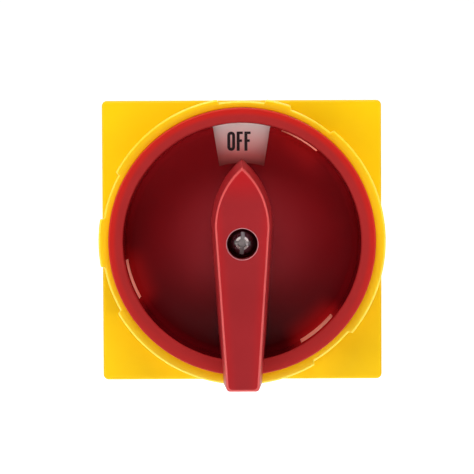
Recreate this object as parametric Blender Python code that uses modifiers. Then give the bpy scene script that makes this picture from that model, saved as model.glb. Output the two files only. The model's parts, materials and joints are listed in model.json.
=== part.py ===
"""Panel-mounted three-pole rotary isolator switch with a padlockable red handle.

Metres, +Z up. The shaft turns about the Y axis, the handle faces -Y, and the origin is on the shaft's
axis at the front face of the panel that the switch is clamped to. Angles round the axis are measured
clockwise from the top as the user sees them, so that an angle a points to (sin a, cos a) in (x, z).
"""

import math

import bmesh
import bpy
from mathutils import Matrix, Vector

# ---------------------------------------------------------------- driving sizes
GAP = 0.0003                 # between pieces that touch
POLE_SITES = ((1, 1), (1, -1), (2, 1))   # (deck, side) of poles 1 to 3; side 1 is +X

# Depths along the axis, in front of the panel (negative y)
PANEL_THICKNESS = 0.0030
GASKET_THICKNESS = 0.0015
PLATE_SIDE = 0.0640
PLATE_CORNER = 0.0012
PLATE_FRONT = -0.0080        # y of the front plate's face
PLATE_BACK = -0.0006         # y of its skirt's edge
PLATE_WALL = 0.0018
WELL_RADIUS = 0.0285         # round recess in the plate, under the handle
WELL_FACE = PLATE_FRONT + 0.0025
WELL_BACK = WELL_FACE + 0.0022
BOSS_END = -GASKET_THICKNESS - GAP
SEAL_SEAT = -0.0041

LEGEND_THICKNESS = 0.0008
LEGEND_RADIUS = 0.0279
LEGEND_BORE = 0.0099

LOCK_OUTER = 0.0324          # lock ring round the handle
LOCK_INNER = 0.0302
LOCK_TOP = PLATE_FRONT - 0.0085
LOCK_CHAMFER = 0.0004
LOCK_RECESS_RADIUS = 0.0316
LOCK_RECESS_WIDTH = 0.0109
LOCK_RECESS_ANGLES = (0, 30, 140, 250, 289)
PADLOCK_ANGLES = (30, 140, 250)
PADLOCK_WINDOW_WIDTH = 0.0096
PADLOCK_WINDOW_FRONT = LOCK_TOP + 0.0014
PADLOCK_WINDOW_BACK = PLATE_FRONT - 0.0013
PEG_ANGLES = (45, 135, 225, 315)
PEG_CIRCLE = 0.0313
PEG_RADIUS = 0.0008
PEG_HEAD_RADIUS = 0.0013

RIM_OUTER = 0.0300           # red handle
RIM_INNER = 0.0266
RIM_TOP = PLATE_FRONT - 0.0110
RIM_CHAMFER = 0.0004
SKIRT_INNER = 0.0288
SKIRT_END = PLATE_FRONT - 0.0010
DISH_WALL_OUTER = 0.0276
RIM_THICKNESS = 0.0017
DISH_FOOT_RADIUS = 0.0265    # where the floor meets the inner wall
DISH_FILLET = 0.0016
DISH_FOOT = PLATE_FRONT - 0.0006
DISH_CENTRE = PLATE_FRONT - 0.0029
DISH_THICKNESS = 0.0015
DISH_BACK = DISH_FOOT + DISH_THICKNESS
SLOT_HALF_SWEEP = 10.5            # degrees either side of each padlock angle
SLOT_INNER = 0.02642
SLOT_FRONT = PLATE_FRONT - 0.0070
WINDOW_OUTER_RADIUS = 0.0268
WINDOW_LOW = (0.0051, 0.0169)      # half width and height of the window's lower corners
WINDOW_HIGH = (0.0065, 0.0258)     # and of its upper corners
HUB_RADIUS = 0.0070
HUB_END = -0.0020

LEVER_TOP = PLATE_FRONT - 0.0250
LEVER_CHAMFER = 0.0004
LEVER_END = -0.0323          # z of the grip's square end
LEVER_UNDERSIDE = RIM_TOP + 0.0006
LEVER_WALL = 0.0020
SCREW_WELL_RADIUS = 0.00335
SCREW_SEAT = LEVER_TOP + 0.0095
SOCKET_FLOOR = SCREW_SEAT + 0.0026

SHAFT_SIDE = 0.0060
SHAFT_FRONT = SOCKET_FLOOR + GAP
SHAFT_REAR = 0.0452
SHAFT_THREAD_DEPTH = 0.0110

HANDLE_SCREW_RADIUS = 0.0015
HANDLE_HEAD_RADIUS = 0.0028
HANDLE_HEAD_HEIGHT = 0.0020
WASHER_THICKNESS = 0.0006

MOUNT_PITCH = 0.0165         # half the spacing of the four mounting screws
MOUNT_SCREW_RADIUS = 0.00195
MOUNT_HEAD_RADIUS = 0.0035
MOUNT_HEAD_HEIGHT = 0.0020
MOUNT_SEAT = -0.0039
MOUNT_SCREW_END = 0.0116
MOUNT_NUT_SIDE = 0.0070
MOUNT_NUT_FRONT = 0.0080
MOUNT_NUT_BACK = 0.0110

# Depths behind the panel
BODY_SIDE = 0.0490
BODY_CHAMFER = 0.0022
LATCH_FRONT = PANEL_THICKNESS
LATCH_BACK = 0.0140
DECK_DEPTH = 0.0130
DECK_WALL = 0.0016
REAR_COVER_THICKNESS = 0.0025
BOLT_HEIGHT = 0.0205         # z of the two through bolts
BOLT_RADIUS = 0.0016
BOLT_HEAD_RADIUS = 0.0030
BOLT_HEAD_HEIGHT = 0.0024
BOLT_TIP = 0.0080

# Index and stop mechanism
INDEX_CAVITY = 0.0124
INDEX_FRONT = LATCH_FRONT + 0.0022
STAR_CREST = 0.0094
STAR_DEPTH = 0.0012          # crest to valley
STAR_BACK = 0.0098
STAR_HUB_RADIUS = 0.0055
LEAF_THICKNESS = 0.0005
LEAF_FRONT = INDEX_FRONT + 0.0008
LEAF_BACK = STAR_BACK - 0.0008
LEAF_PATH = ((0.0120, 0.0112), (0.0112, 0.0074), (0.0111, 0.0031), (0.0092, 0.0006))   # half, as (x, z)
LEAF_ANCHOR = 0.0098         # z beyond which the leaf sits in its slot
STOP_FRONT = 0.0111
STOP_THICKNESS = 0.0016
STOP_RADIUS = 0.0095
STOP_TAB_RADIUS = 0.0160
STOP_TAB_HALF_ANGLE = 11.0
STOP_PLAY_ANGLE = 1.5
HANDLE_TRAVEL = 90.0

# Contact decks, measured outwards along X from the axis
CAM_HIGH = 0.0100
CAM_STROKE = 0.0030
CAM_CAVITY = 0.0110
CAM_HALF_DEPTH = 0.0035
CAM_HUB_RADIUS = 0.0050
PLUNGER_NOSE = 0.0010
PLUNGER_CLEARANCE = 0.00035
PLUNGER_HALF_HEIGHT = 0.0026
CONTACT_HALF_WIDTH = 0.0028  # half the width along Y of strips, bridges and plungers
STEM_RADIUS = 0.0016
STRIP_INNER = 0.0120
STRIP_THICKNESS = 0.0015
STRIP_START = 0.0066         # |z| of the strip's inner end
STRIP_END = 0.0218
TIP_RADIUS = 0.0018
TIP_HEIGHT = 0.0008
TIP_OFFSET = 0.0088          # |z| of the contact tips
BRIDGE_THICKNESS = 0.0012
BRIDGE_HALF_LENGTH = 0.0110
CHAMBER_INNER = STRIP_INNER - GAP
CHAMBER_OUTER = 0.0230
CHAMBER_HALF_HEIGHT = 0.0122
TERMINAL_HEIGHT = 0.0175     # |z| of the terminal screws
TERMINAL_HALF_SPACE = 0.0038
TERMINAL_HALF_DEPTH = 0.0038
WIRE_SPACE = 0.0046          # between strip and clamp
WIRE_HALF_DEPTH = 0.0031
CLAMP_THICKNESS = 0.0010
CLAMP_HALF_SIDE = 0.0032
TERMINAL_SCREW_RADIUS = 0.00175
TERMINAL_HEAD_RADIUS = 0.0030
TERMINAL_HEAD_HEIGHT = 0.0022
TERMINAL_SCREW_TIP = 0.0095

FINE, ROUND, COARSE = 48, 24, 12     # segments of large, middling and small round pieces

COLOURS = {                  # name: (colour, roughness, metallic)
    "red_plastic": ((0.55, 0.02, 0.03, 1), 0.40, 0.0),
    "yellow_plastic": ((0.95, 0.62, 0.0, 1), 0.45, 0.0),
    "silver_label": ((0.72, 0.70, 0.70, 1), 0.35, 0.6),
    "black_rubber": ((0.03, 0.03, 0.03, 1), 0.85, 0.0),
    "black_plastic": ((0.04, 0.04, 0.045, 1), 0.50, 0.0),
    "grey_plastic": ((0.30, 0.31, 0.32, 1), 0.50, 0.0),
    "white_plastic": ((0.82, 0.81, 0.76, 1), 0.45, 0.0),
    "zinc_steel": ((0.62, 0.62, 0.60, 1), 0.35, 1.0),
    "spring_steel": ((0.45, 0.45, 0.46, 1), 0.30, 1.0),
    "copper": ((0.72, 0.38, 0.24, 1), 0.35, 1.0),
    "brass": ((0.72, 0.56, 0.28, 1), 0.35, 1.0),
}


# ---------------------------------------------------------------- shape helpers
def start_scene():
    """Empties the scene and makes the collections and the materials."""
    for obj in list(bpy.data.objects):
        bpy.data.objects.remove(obj)
    parts = bpy.data.collections.new("rotary_isolator")
    cutters = bpy.data.collections.new("rotary_isolator_cutters")
    for collection in (parts, cutters):
        bpy.context.scene.collection.children.link(collection)
    for name, (colour, roughness, metallic) in COLOURS.items():
        material = bpy.data.materials.new(name)
        material.use_nodes = True
        shader = material.node_tree.nodes["Principled BSDF"]
        shader.inputs["Base Color"].default_value = colour
        shader.inputs["Roughness"].default_value = roughness
        shader.inputs["Metallic"].default_value = metallic
    return parts, cutters


PARTS, CUTTERS = start_scene()


def add_object(name, mesh, material):
    """A part when it has a material, and a cutter when it has none."""
    obj = bpy.data.objects.new(name, mesh)
    if material:
        mesh.materials.clear()
        mesh.materials.append(bpy.data.materials[material])
        PARTS.objects.link(obj)
    else:
        CUTTERS.objects.link(obj)
        obj.hide_render = True
        obj.display_type = "WIRE"
    return obj


def from_bmesh(name, shape, material):
    mesh = bpy.data.meshes.new(name)
    shape.to_mesh(mesh)
    shape.free()
    return add_object(name, mesh, material)


def box(name, low, high, material=None):
    """A box between two corners, given in either order."""
    low, high = Vector(low), Vector(high)
    shape = bmesh.new()
    bmesh.ops.create_cube(shape, size=1)
    size = [abs(b - a) for a, b in zip(low, high)]
    bmesh.ops.scale(shape, vec=size, verts=shape.verts)
    obj = from_bmesh(name, shape, material)
    obj.location = (low + high) / 2
    return obj


def rod(name, start, end, radius, material=None, segments=COARSE):
    """A cylinder from one point to another."""
    start, end = Vector(start), Vector(end)
    shape = bmesh.new()
    bmesh.ops.create_cone(shape, cap_ends=True, segments=segments, radius1=radius, radius2=radius,
                          depth=(end - start).length)
    obj = from_bmesh(name, shape, material)
    obj.data.shade_smooth()
    obj.data.set_sharp_from_angle(angle=math.radians(30))
    obj.rotation_mode = "QUATERNION"
    obj.rotation_quaternion = (end - start).to_track_quat("Z", "Y")
    obj.location = (start + end) / 2
    return obj


def shaft_rod(name, y_front, y_back, radius, material=None, segments=ROUND, x=0.0, z=0.0):
    """A cylinder parallel to the switch's axis."""
    return rod(name, (x, y_front, z), (x, y_back, z), radius, material, segments)


def turned(name, profile, material=None, steps=FINE, closed=False):
    """A shape turned about the Y axis from (radius, y) points that run from back to front outside."""
    mesh = bpy.data.meshes.new(name)
    count = len(profile)
    edges = [(i, i + 1) for i in range(count - 1)]
    if closed:
        edges.append((count - 1, 0))
    mesh.from_pydata([(radius, y, 0) for radius, y in profile], edges, [])
    obj = add_object(name, mesh, material)
    screw = obj.modifiers.new("Turn", "SCREW")
    screw.axis = "Y"
    screw.steps = screw.render_steps = steps
    screw.use_merge_vertices = True
    screw.merge_threshold = 0.00001
    screw.use_smooth_shade = True
    return obj


def ring(name, inner, outer, y_front, y_back, material=None, steps=FINE):
    """A plain ring about the Y axis."""
    profile = [(outer, y_back), (outer, y_front), (inner, y_front), (inner, y_back)]
    return turned(name, profile, material, steps, closed=True)


def prism(name, outlines, y_front, y_back, material=None):
    """A flat shape in the XZ plane, an outline and any holes, between two depths."""
    curve = bpy.data.curves.new(name + "_outline", "CURVE")
    curve.dimensions = "2D"
    curve.fill_mode = "BOTH"
    curve.extrude = (y_back - y_front) / 2
    for outline in outlines:
        spline = curve.splines.new("POLY")
        spline.points.add(len(outline) - 1)
        for point, (x, z) in zip(spline.points, outline):
            point.co = (x, z, 0, 1)
        spline.use_cyclic_u = True
    drawn = bpy.data.objects.new(name + "_outline", curve)
    CUTTERS.objects.link(drawn)
    drawn.rotation_euler = (math.radians(90), 0, 0)
    drawn.location = (0, (y_front + y_back) / 2, 0)
    bpy.context.view_layer.update()
    evaluated = drawn.evaluated_get(bpy.context.evaluated_depsgraph_get())
    mesh = bpy.data.meshes.new_from_object(evaluated)
    mesh.name = name
    shape = bmesh.new()
    shape.from_mesh(mesh)
    bmesh.ops.remove_doubles(shape, verts=shape.verts, dist=0.000001)
    shape.to_mesh(mesh)
    shape.free()
    obj = add_object(name, mesh, material)
    obj.matrix_world = drawn.matrix_world.copy()
    bpy.data.objects.remove(drawn)
    return obj


def boolean(obj, other, operation):
    modifier = obj.modifiers.new(other.name, "BOOLEAN")
    modifier.operation = operation
    modifier.solver = "EXACT"
    modifier.object = other


def cut(obj, *cutters):
    for cutter in cutters:
        boolean(obj, cutter, "DIFFERENCE")


def join(obj, *additions):
    for addition in additions:
        boolean(obj, addition, "UNION")


def bevel(obj, width, segments=2, angle=40):
    modifier = obj.modifiers.new("Soft edges", "BEVEL")
    modifier.width = width
    modifier.segments = segments
    modifier.limit_method = "ANGLE"
    modifier.angle_limit = math.radians(angle)


def at_angle(radius, degrees):
    """The (x, z) point at an angle clockwise from the top."""
    a = math.radians(degrees)
    return radius * math.sin(a), radius * math.cos(a)


def circle(radius, count, x=0.0, z=0.0):
    points = [at_angle(radius, 360 * i / count) for i in range(count)]
    return [(x + px, z + pz) for px, pz in points]


def square(half, x=0.0, z=0.0):
    return [(x - half, z - half), (x + half, z - half), (x + half, z + half), (x - half, z + half)]


def rounded_square(half, corner, count=4):
    """A square outline with round corners."""
    outline = []
    for quadrant, (sx, sz) in enumerate(((1, 1), (1, -1), (-1, -1), (-1, 1))):
        for i in range(count + 1):
            dx, dz = at_angle(corner, 90 * (quadrant + i / count))
            outline.append((sx * (half - corner) + dx, sz * (half - corner) + dz))
    return outline


def chamfered_square(half, chamfer):
    outline = []
    for sx, sz, first in ((1, 1, 0), (1, -1, 1), (-1, -1, 0), (-1, 1, 1)):
        corner = [(sx * (half - chamfer), sz * half), (sx * half, sz * (half - chamfer))]
        outline += corner[::-1] if first else corner
    return outline


def ring_sector(name, degrees, near, far, y_front, y_back):
    """A cutter shaped as a piece of a ring, for a padlock slot in the handle's round wall."""
    sweep = [degrees + SLOT_HALF_SWEEP * i / 3 for i in range(-3, 4)]
    outline = [at_angle(far, a) for a in sweep] + [at_angle(near, a) for a in reversed(sweep)]
    return prism(name, [outline], y_front, y_back)


def radial_box(name, degrees, near, far, width, y_front, y_back):
    """A cutter box that points away from the axis at an angle."""
    obj = box(name, (-width / 2, y_front, near), (width / 2, y_back, far))
    centre = obj.location.copy()
    turn = Matrix.Rotation(math.radians(degrees), 4, "Y")
    obj.matrix_world = turn @ Matrix.Translation(centre)
    return obj


def square_corners():
    """The four mounting positions, clockwise from top right."""
    pitch = MOUNT_PITCH
    return ((pitch, pitch), (pitch, -pitch), (-pitch, -pitch), (-pitch, pitch))


def helix(name, start, end, radius, wire, turns, material):
    """A spring along X between two points, as a round wire."""
    points_per_turn = 8
    count = int(turns * points_per_turn) + 1
    curve = bpy.data.curves.new(name, "CURVE")
    curve.dimensions = "3D"
    curve.bevel_depth = wire / 2
    curve.bevel_resolution = 1
    curve.use_fill_caps = True
    spline = curve.splines.new("POLY")
    spline.points.add(count - 1)
    length = end[0] - start[0] - math.copysign(wire, end[0] - start[0])
    for i, point in enumerate(spline.points):
        share = i / (count - 1)
        a = 2 * math.pi * turns * share
        x = start[0] + math.copysign(wire / 2, length) + length * share
        point.co = (x, start[1] + radius * math.cos(a), start[2] + radius * math.sin(a), 1)
    curve.materials.append(bpy.data.materials[material])
    obj = bpy.data.objects.new(name, curve)
    PARTS.objects.link(obj)
    return obj


# ---------------------------------------------------------------- front of the panel
def lever_outline(half_width, tail_half_width, tip, end):
    """The grip seen from the front: an ogive nose, straight tapering sides and a square end."""
    shoulder = 0.0035
    rise = tip - shoulder
    radius = (half_width ** 2 + rise ** 2) / (2 * half_width)
    sweep = math.asin(rise / radius)
    steps = 9
    right = []
    for i in range(steps + 1):
        a = sweep * (1 - i / steps)
        right.append((half_width - radius + radius * math.cos(a), shoulder + radius * math.sin(a)))
    right[0] = (0.0, tip)
    corner = 0.0008
    right.append((tail_half_width, end + corner))
    right.append((tail_half_width - 0.3 * corner, end + 0.3 * corner))
    right.append((tail_half_width - corner, end))
    left = [(-x, z) for x, z in reversed(right[1:])]
    return right + left


def loft(name, sections, material=None):
    """A closed solid through (y, outline) sections that have the same number of points."""
    shape = bmesh.new()
    rows = []
    for y, outline in sections:
        rows.append([shape.verts.new((x, y, z)) for x, z in outline])
    count = len(rows[0])
    for near, far in zip(rows, rows[1:]):
        for i in range(count):
            j = (i + 1) % count
            shape.faces.new((near[i], near[j], far[j], far[i]))
    shape.faces.new(rows[0])
    shape.faces.new(rows[-1])
    bmesh.ops.recalc_face_normals(shape, faces=shape.faces)
    return from_bmesh(name, shape, material)


def lever_section(y, inset=0.0):
    """The grip's outline at a depth: it narrows by its moulding draft from the dish to the top."""
    share = (y - DISH_CENTRE) / (LEVER_TOP - DISH_CENTRE)
    half_width = 0.00700 + (0.00595 - 0.00700) * share
    tail_half_width = 0.00470 + (0.00360 - 0.00470) * share
    tip = 0.0185 + (0.0165 - 0.0185) * share
    end = LEVER_END - 0.0004 * (1 - share)
    return lever_outline(half_width - inset, tail_half_width - inset, tip - 1.6 * inset, end + inset)


def dish_back(radius):
    """y of the back of the dish's sloping floor."""
    return DISH_BACK + (DISH_CENTRE - DISH_FOOT) * (1 - radius / DISH_FOOT_RADIUS)


def dish_fillet():
    """Points from the dish's inner wall round its foot to the floor."""
    points = []
    for i in range(4):
        a = math.radians(30 * i)
        points.append((DISH_FOOT_RADIUS - DISH_FILLET * (1 - math.cos(a)),
                       DISH_FOOT - DISH_FILLET * (1 - math.sin(a))))
    return points


def make_handle():
    """The red handle: a dish with a skirted rim, a hub behind it, and a hollow grip across it."""
    chamfer = RIM_CHAMFER
    channel_front = RIM_TOP + RIM_THICKNESS
    handle = turned("handle", [
        (0, HUB_END), (HUB_RADIUS, HUB_END), (HUB_RADIUS, dish_back(HUB_RADIUS)),
        (DISH_FOOT_RADIUS, DISH_BACK), (DISH_WALL_OUTER, DISH_BACK), (DISH_WALL_OUTER, channel_front),
        (SKIRT_INNER, channel_front), (SKIRT_INNER, SKIRT_END), (RIM_OUTER, SKIRT_END),
        (RIM_OUTER, RIM_TOP + chamfer), (RIM_OUTER - chamfer, RIM_TOP), (RIM_INNER + chamfer, RIM_TOP),
        (RIM_INNER, RIM_TOP + chamfer)] + dish_fillet() + [(0, DISH_CENTRE)], "red_plastic")
    cut(handle, make_window_cutter())
    for angle in PADLOCK_ANGLES:
        cut(handle, ring_sector(f"padlock_slot_{angle}", angle, SLOT_INNER, RIM_OUTER + 0.001,
                                SLOT_FRONT, DISH_FOOT))
    join(handle, make_grip())
    cut(handle, make_grip_hollow())

    half_socket = SHAFT_SIDE / 2 + GAP
    cut(handle,
        shaft_rod("screw_well", LEVER_TOP - 0.001, SCREW_SEAT, SCREW_WELL_RADIUS),
        shaft_rod("screw_clearance", SCREW_SEAT - 0.001, SOCKET_FLOOR + 0.001,
                  HANDLE_SCREW_RADIUS + GAP, segments=COARSE),
        box("shaft_socket", (-half_socket, SOCKET_FLOOR, -half_socket), (half_socket, 0, half_socket)))
    return handle


def make_grip():
    """The raised bar across the dish; its tail reaches over the rim."""
    root = DISH_CENTRE + 0.0006
    shoulder = LEVER_TOP + LEVER_CHAMFER
    grip = loft("handle_grip", [(root, lever_section(root)), (shoulder, lever_section(shoulder)),
                                (LEVER_TOP, lever_section(LEVER_TOP, LEVER_CHAMFER))])
    cut(grip, ring("grip_underside", RIM_INNER + 0.0004, 0.050, LEVER_UNDERSIDE, 0))
    return grip


def make_grip_hollow():
    """The space inside the grip, open at the back, round the hub that carries the shaft and screw."""
    front = LEVER_TOP + LEVER_WALL
    back = DISH_BACK + 0.001
    hollow = loft("grip_hollow", [(back, lever_section(DISH_CENTRE, LEVER_WALL)),
                                  (front, lever_section(front, LEVER_WALL))])
    reach = DISH_FOOT_RADIUS - LEVER_WALL
    cut(hollow, shaft_rod("grip_hub", LEVER_TOP, 0, HUB_RADIUS),
        box("grip_hollow_end", (-0.02, LEVER_TOP, -0.05), (0.02, 0, -reach)))
    return hollow


def make_window_cutter():
    """The window in the dish through which the legend shows: it also squares off the wall behind it."""
    (low_x, low_z), (high_x, high_z) = WINDOW_LOW, WINDOW_HIGH
    high_sweep = math.degrees(math.atan2(high_x, high_z))
    top = [at_angle(WINDOW_OUTER_RADIUS, high_sweep * (1 - i / 3)) for i in range(7)]
    low_sweep = math.degrees(math.atan2(low_x, low_z))
    low_radius = math.hypot(low_x, low_z)
    bottom = [at_angle(low_radius, low_sweep * (i / 2 - 1)) for i in range(5)]
    return prism("window", [top + bottom], RIM_TOP + 0.0020, DISH_BACK + 0.001)


def make_lock_ring():
    """The yellow ring round the handle: padlocks pass through its three windows."""
    foot = PLATE_FRONT - GAP
    lock_ring = turned("lock_ring", [
        (LOCK_OUTER, foot), (LOCK_OUTER, LOCK_TOP + LOCK_CHAMFER), (LOCK_OUTER - LOCK_CHAMFER, LOCK_TOP),
        (LOCK_INNER, LOCK_TOP), (LOCK_INNER, foot)], "yellow_plastic", closed=True)
    outside = LOCK_OUTER + 0.002
    for angle in LOCK_RECESS_ANGLES:
        cut(lock_ring, make_recess_cutter(angle))
    for angle in PADLOCK_ANGLES:
        cut(lock_ring, radial_box(f"padlock_window_{angle}", angle, LOCK_INNER - 0.003, outside,
                                  PADLOCK_WINDOW_WIDTH, PADLOCK_WINDOW_FRONT, PADLOCK_WINDOW_BACK))
    stake_front = PLATE_FRONT + 0.0022 + GAP
    for angle in PEG_ANGLES:
        x, z = at_angle(PEG_CIRCLE, angle)
        join(lock_ring,
             shaft_rod(f"peg_{angle}", foot - 0.0005, stake_front + 0.0003, PEG_RADIUS,
                       segments=12, x=x, z=z),
             shaft_rod(f"peg_head_{angle}", stake_front, stake_front + 0.0007, PEG_HEAD_RADIUS,
                       segments=12, x=x, z=z))
    return lock_ring


def make_recess_cutter(angle):
    """A cutter for one shallow recess down the outside of the lock ring, with a chamfered top edge."""
    half_sweep = math.degrees(math.asin(LOCK_RECESS_WIDTH / 2 / LOCK_OUTER))
    sweep = [angle + half_sweep * (i / 3 - 1) for i in range(7)]

    def outline(radius):
        inner = [at_angle(radius, a) for a in sweep]
        return inner + [at_angle(LOCK_OUTER + 0.002, a) for a in reversed(sweep)]

    above, below = LOCK_TOP - 0.001, PLATE_FRONT + 0.001
    slope = LOCK_TOP + LOCK_CHAMFER
    narrow, wide = outline(LOCK_RECESS_RADIUS - LOCK_CHAMFER), outline(LOCK_RECESS_RADIUS)
    return loft(f"recess_{angle}", [(above, narrow), (LOCK_TOP, narrow), (slope, wide), (below, wide)])


def make_front_plate():
    """The yellow square plate: a shell with a well, a bearing, four screw bosses and ribs behind it."""
    half = PLATE_SIDE / 2
    plate = prism("front_plate", [rounded_square(half, PLATE_CORNER)], PLATE_FRONT, PLATE_BACK,
                  "yellow_plastic")
    bevel(plate, 0.0005, segments=2, angle=80)
    inside = half - PLATE_WALL
    cut(plate, box("plate_hollow", (-inside, PLATE_FRONT + 0.0022, -inside), (inside, 0, inside)))
    join(plate, shaft_rod("well_floor", PLATE_FRONT + 0.0012, WELL_BACK, WELL_RADIUS + 0.0014,
                          segments=FINE))
    join(plate, shaft_rod("bearing", WELL_BACK - 0.0005, BOSS_END, HUB_RADIUS + 0.0040))
    corners = square_corners()
    for i, (x, z) in enumerate(corners):
        join(plate, shaft_rod(f"boss_{i}", WELL_BACK - 0.0005, BOSS_END, MOUNT_HEAD_RADIUS + 0.0016,
                              segments=COARSE, x=x, z=z))
    rib = 0.0006
    rib_front, rib_back = WELL_BACK - 0.0004, BOSS_END - 0.0006
    join(plate, box("rib_across", (-inside - 0.0005, rib_front, -rib), (inside + 0.0005, rib_back, rib)),
         box("rib_upright", (-rib, rib_front, -inside - 0.0005), (rib, rib_back, inside + 0.0005)))
    cut(plate, shaft_rod("well", PLATE_FRONT - 0.001, WELL_FACE, WELL_RADIUS, segments=FINE),
        shaft_rod("bearing_bore", PLATE_FRONT - 0.001, 0.001, HUB_RADIUS + GAP),
        shaft_rod("seal_seat", SEAL_SEAT, 0.001, HUB_RADIUS + 0.0027))
    for i, (x, z) in enumerate(corners):
        cut(plate,
            shaft_rod(f"screw_hole_{i}", PLATE_FRONT - 0.001, 0.001, MOUNT_SCREW_RADIUS + 0.00035,
                      segments=COARSE, x=x, z=z),
            shaft_rod(f"counterbore_{i}", PLATE_FRONT - 0.001, MOUNT_SEAT, MOUNT_HEAD_RADIUS + 0.0005,
                      segments=COARSE, x=x, z=z))
    for angle in PEG_ANGLES:
        x, z = at_angle(PEG_CIRCLE, angle)
        cut(plate, shaft_rod(f"peg_hole_{angle}", PLATE_FRONT - 0.001, PLATE_FRONT + 0.003,
                             PEG_RADIUS + GAP, segments=12, x=x, z=z))
    return plate


def make_legend_plate():
    """The fixed label disc under the dish, with holes over the mounting screws."""
    back = WELL_FACE - GAP
    holes = [circle(MOUNT_HEAD_RADIUS + 0.0006, COARSE, x, z) for x, z in square_corners()]
    return prism("legend_plate", [circle(LEGEND_RADIUS, FINE), circle(LEGEND_BORE, ROUND)] + holes,
                 back - LEGEND_THICKNESS, back, "silver_label")


def make_seals():
    """The flat gasket against the panel and the ring seal round the hub."""
    holes = [circle(MOUNT_SCREW_RADIUS + 0.00045, COARSE, x, z) for x, z in square_corners()]
    outline = rounded_square(PLATE_SIDE / 2 - PLATE_WALL - GAP, 0.0010)
    prism("panel_gasket", [outline, circle(0.0120, ROUND)] + holes, -GASKET_THICKNESS, 0, "black_rubber")
    inner, outer = HUB_RADIUS + GAP, HUB_RADIUS + 0.0027 - GAP
    front, back = -0.0038, -0.0021
    middle, lip = (inner + outer) / 2, 0.0003
    turned("shaft_seal", [(outer, back), (outer - lip, (front + back) / 2), (outer, front),
                          (middle, front + lip), (inner, front), (inner + lip, (front + back) / 2),
                          (inner, back), (middle, back - lip)], "black_rubber", ROUND, closed=True)


def cross_slot(name, centre, direction, reach, width, depth):
    """Cutters for a screw head's cross: two crossed bars sunk from its face."""
    centre, direction = Vector(centre), Vector(direction)
    bars = []
    for i, across in enumerate((Vector((0, 0, 1)), direction.cross(Vector((0, 0, 1))))):
        other = direction.cross(across)
        low = centre - across * reach - other * width / 2 - direction * depth
        high = centre + across * reach + other * width / 2 + direction * 0.001
        bars.append(box(f"{name}_bar_{i}", low, high))
    return bars


def screw(name, seat, direction, head_radius, head_height, shank_radius, tip, material, slot_reach=0.55):
    """A pan-head screw: seat is the centre of the head's underside, direction points out of the head."""
    seat, direction = Vector(seat), Vector(direction)
    face = seat + direction * head_height
    head = rod(name, seat, face, head_radius, material, segments=COARSE)
    bevel(head, head_height * 0.25, segments=1, angle=60)
    join(head, rod(name + "_shank", seat + direction * head_height * 0.3, tip, shank_radius, segments=12))
    cut(head, *cross_slot(name, face, direction, head_radius * slot_reach, head_radius * 0.24,
                          head_height * 0.5))
    return head


def make_fixings():
    """The handle's screw and washer, and the four screws and nuts that clamp the panel."""
    washer_back = SCREW_SEAT - GAP
    head_seat = washer_back - WASHER_THICKNESS - GAP
    tip = (0, SHAFT_FRONT + SHAFT_THREAD_DEPTH - 0.0012, 0)
    screw("handle_screw", (0, head_seat, 0), (0, -1, 0), HANDLE_HEAD_RADIUS, HANDLE_HEAD_HEIGHT,
          HANDLE_SCREW_RADIUS, tip, "zinc_steel", slot_reach=0.92)
    ring("handle_screw_washer", HANDLE_SCREW_RADIUS + GAP, HANDLE_HEAD_RADIUS,
         washer_back - WASHER_THICKNESS, washer_back, "spring_steel", COARSE)
    for i, (x, z) in enumerate(square_corners(), start=1):
        screw(f"mounting_screw_{i}", (x, MOUNT_SEAT - GAP, z), (0, -1, 0), MOUNT_HEAD_RADIUS,
              MOUNT_HEAD_HEIGHT, MOUNT_SCREW_RADIUS, (x, MOUNT_SCREW_END, z), "zinc_steel")
        hole = circle(MOUNT_SCREW_RADIUS + GAP, 12, x, z)
        prism(f"mounting_nut_{i}", [square(MOUNT_NUT_SIDE / 2, x, z), hole],
              MOUNT_NUT_FRONT, MOUNT_NUT_BACK, "brass")


# ---------------------------------------------------------------- rotor
def make_shaft():
    half = SHAFT_SIDE / 2
    shaft = box("drive_shaft", (-half, SHAFT_FRONT, -half), (half, SHAFT_REAR, half), "zinc_steel")
    thread_end = SHAFT_FRONT + SHAFT_THREAD_DEPTH
    groove_front = deck_front(3) + REAR_COVER_THICKNESS + 0.0003
    cut(shaft, shaft_rod("shaft_thread", SHAFT_FRONT - 0.001, thread_end, HANDLE_SCREW_RADIUS + GAP,
                         segments=COARSE),
        ring("clip_groove", 0.0024, 0.0060, groove_front, groove_front + 0.0011, steps=COARSE))
    clip = prism("shaft_clip", [clip_outline(0.0027, 0.0054)], groove_front + 0.0002,
                 groove_front + 0.0009, "spring_steel")
    return shaft, clip


def clip_outline(inner, outer):
    """A C-shaped retaining clip, open at the bottom."""
    half_opening = 38
    angles = [180 + half_opening + (360 - 2 * half_opening) * i / 18 for i in range(19)]
    return [at_angle(outer, a) for a in angles] + [at_angle(inner, a) for a in reversed(angles)]


def make_index_star():
    """The four-valley wheel that the two leaf springs press into."""
    count = 48
    outline = []
    for i in range(count):
        degrees = 360 * i / count
        dip = (1 + math.cos(math.radians(4 * degrees))) / 2
        outline.append(at_angle(STAR_CREST - STAR_DEPTH * dip, degrees))
    star = prism("index_star", [outline], INDEX_FRONT + GAP, STAR_BACK, "white_plastic")
    join(star, shaft_rod("star_hub", LATCH_FRONT + 0.0002, 0.0070, STAR_HUB_RADIUS, segments=ROUND))
    half = SHAFT_SIDE / 2 + GAP
    cut(star, box("star_square", (-half, 0, -half), (half, 0.020, half)))
    return star


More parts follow.
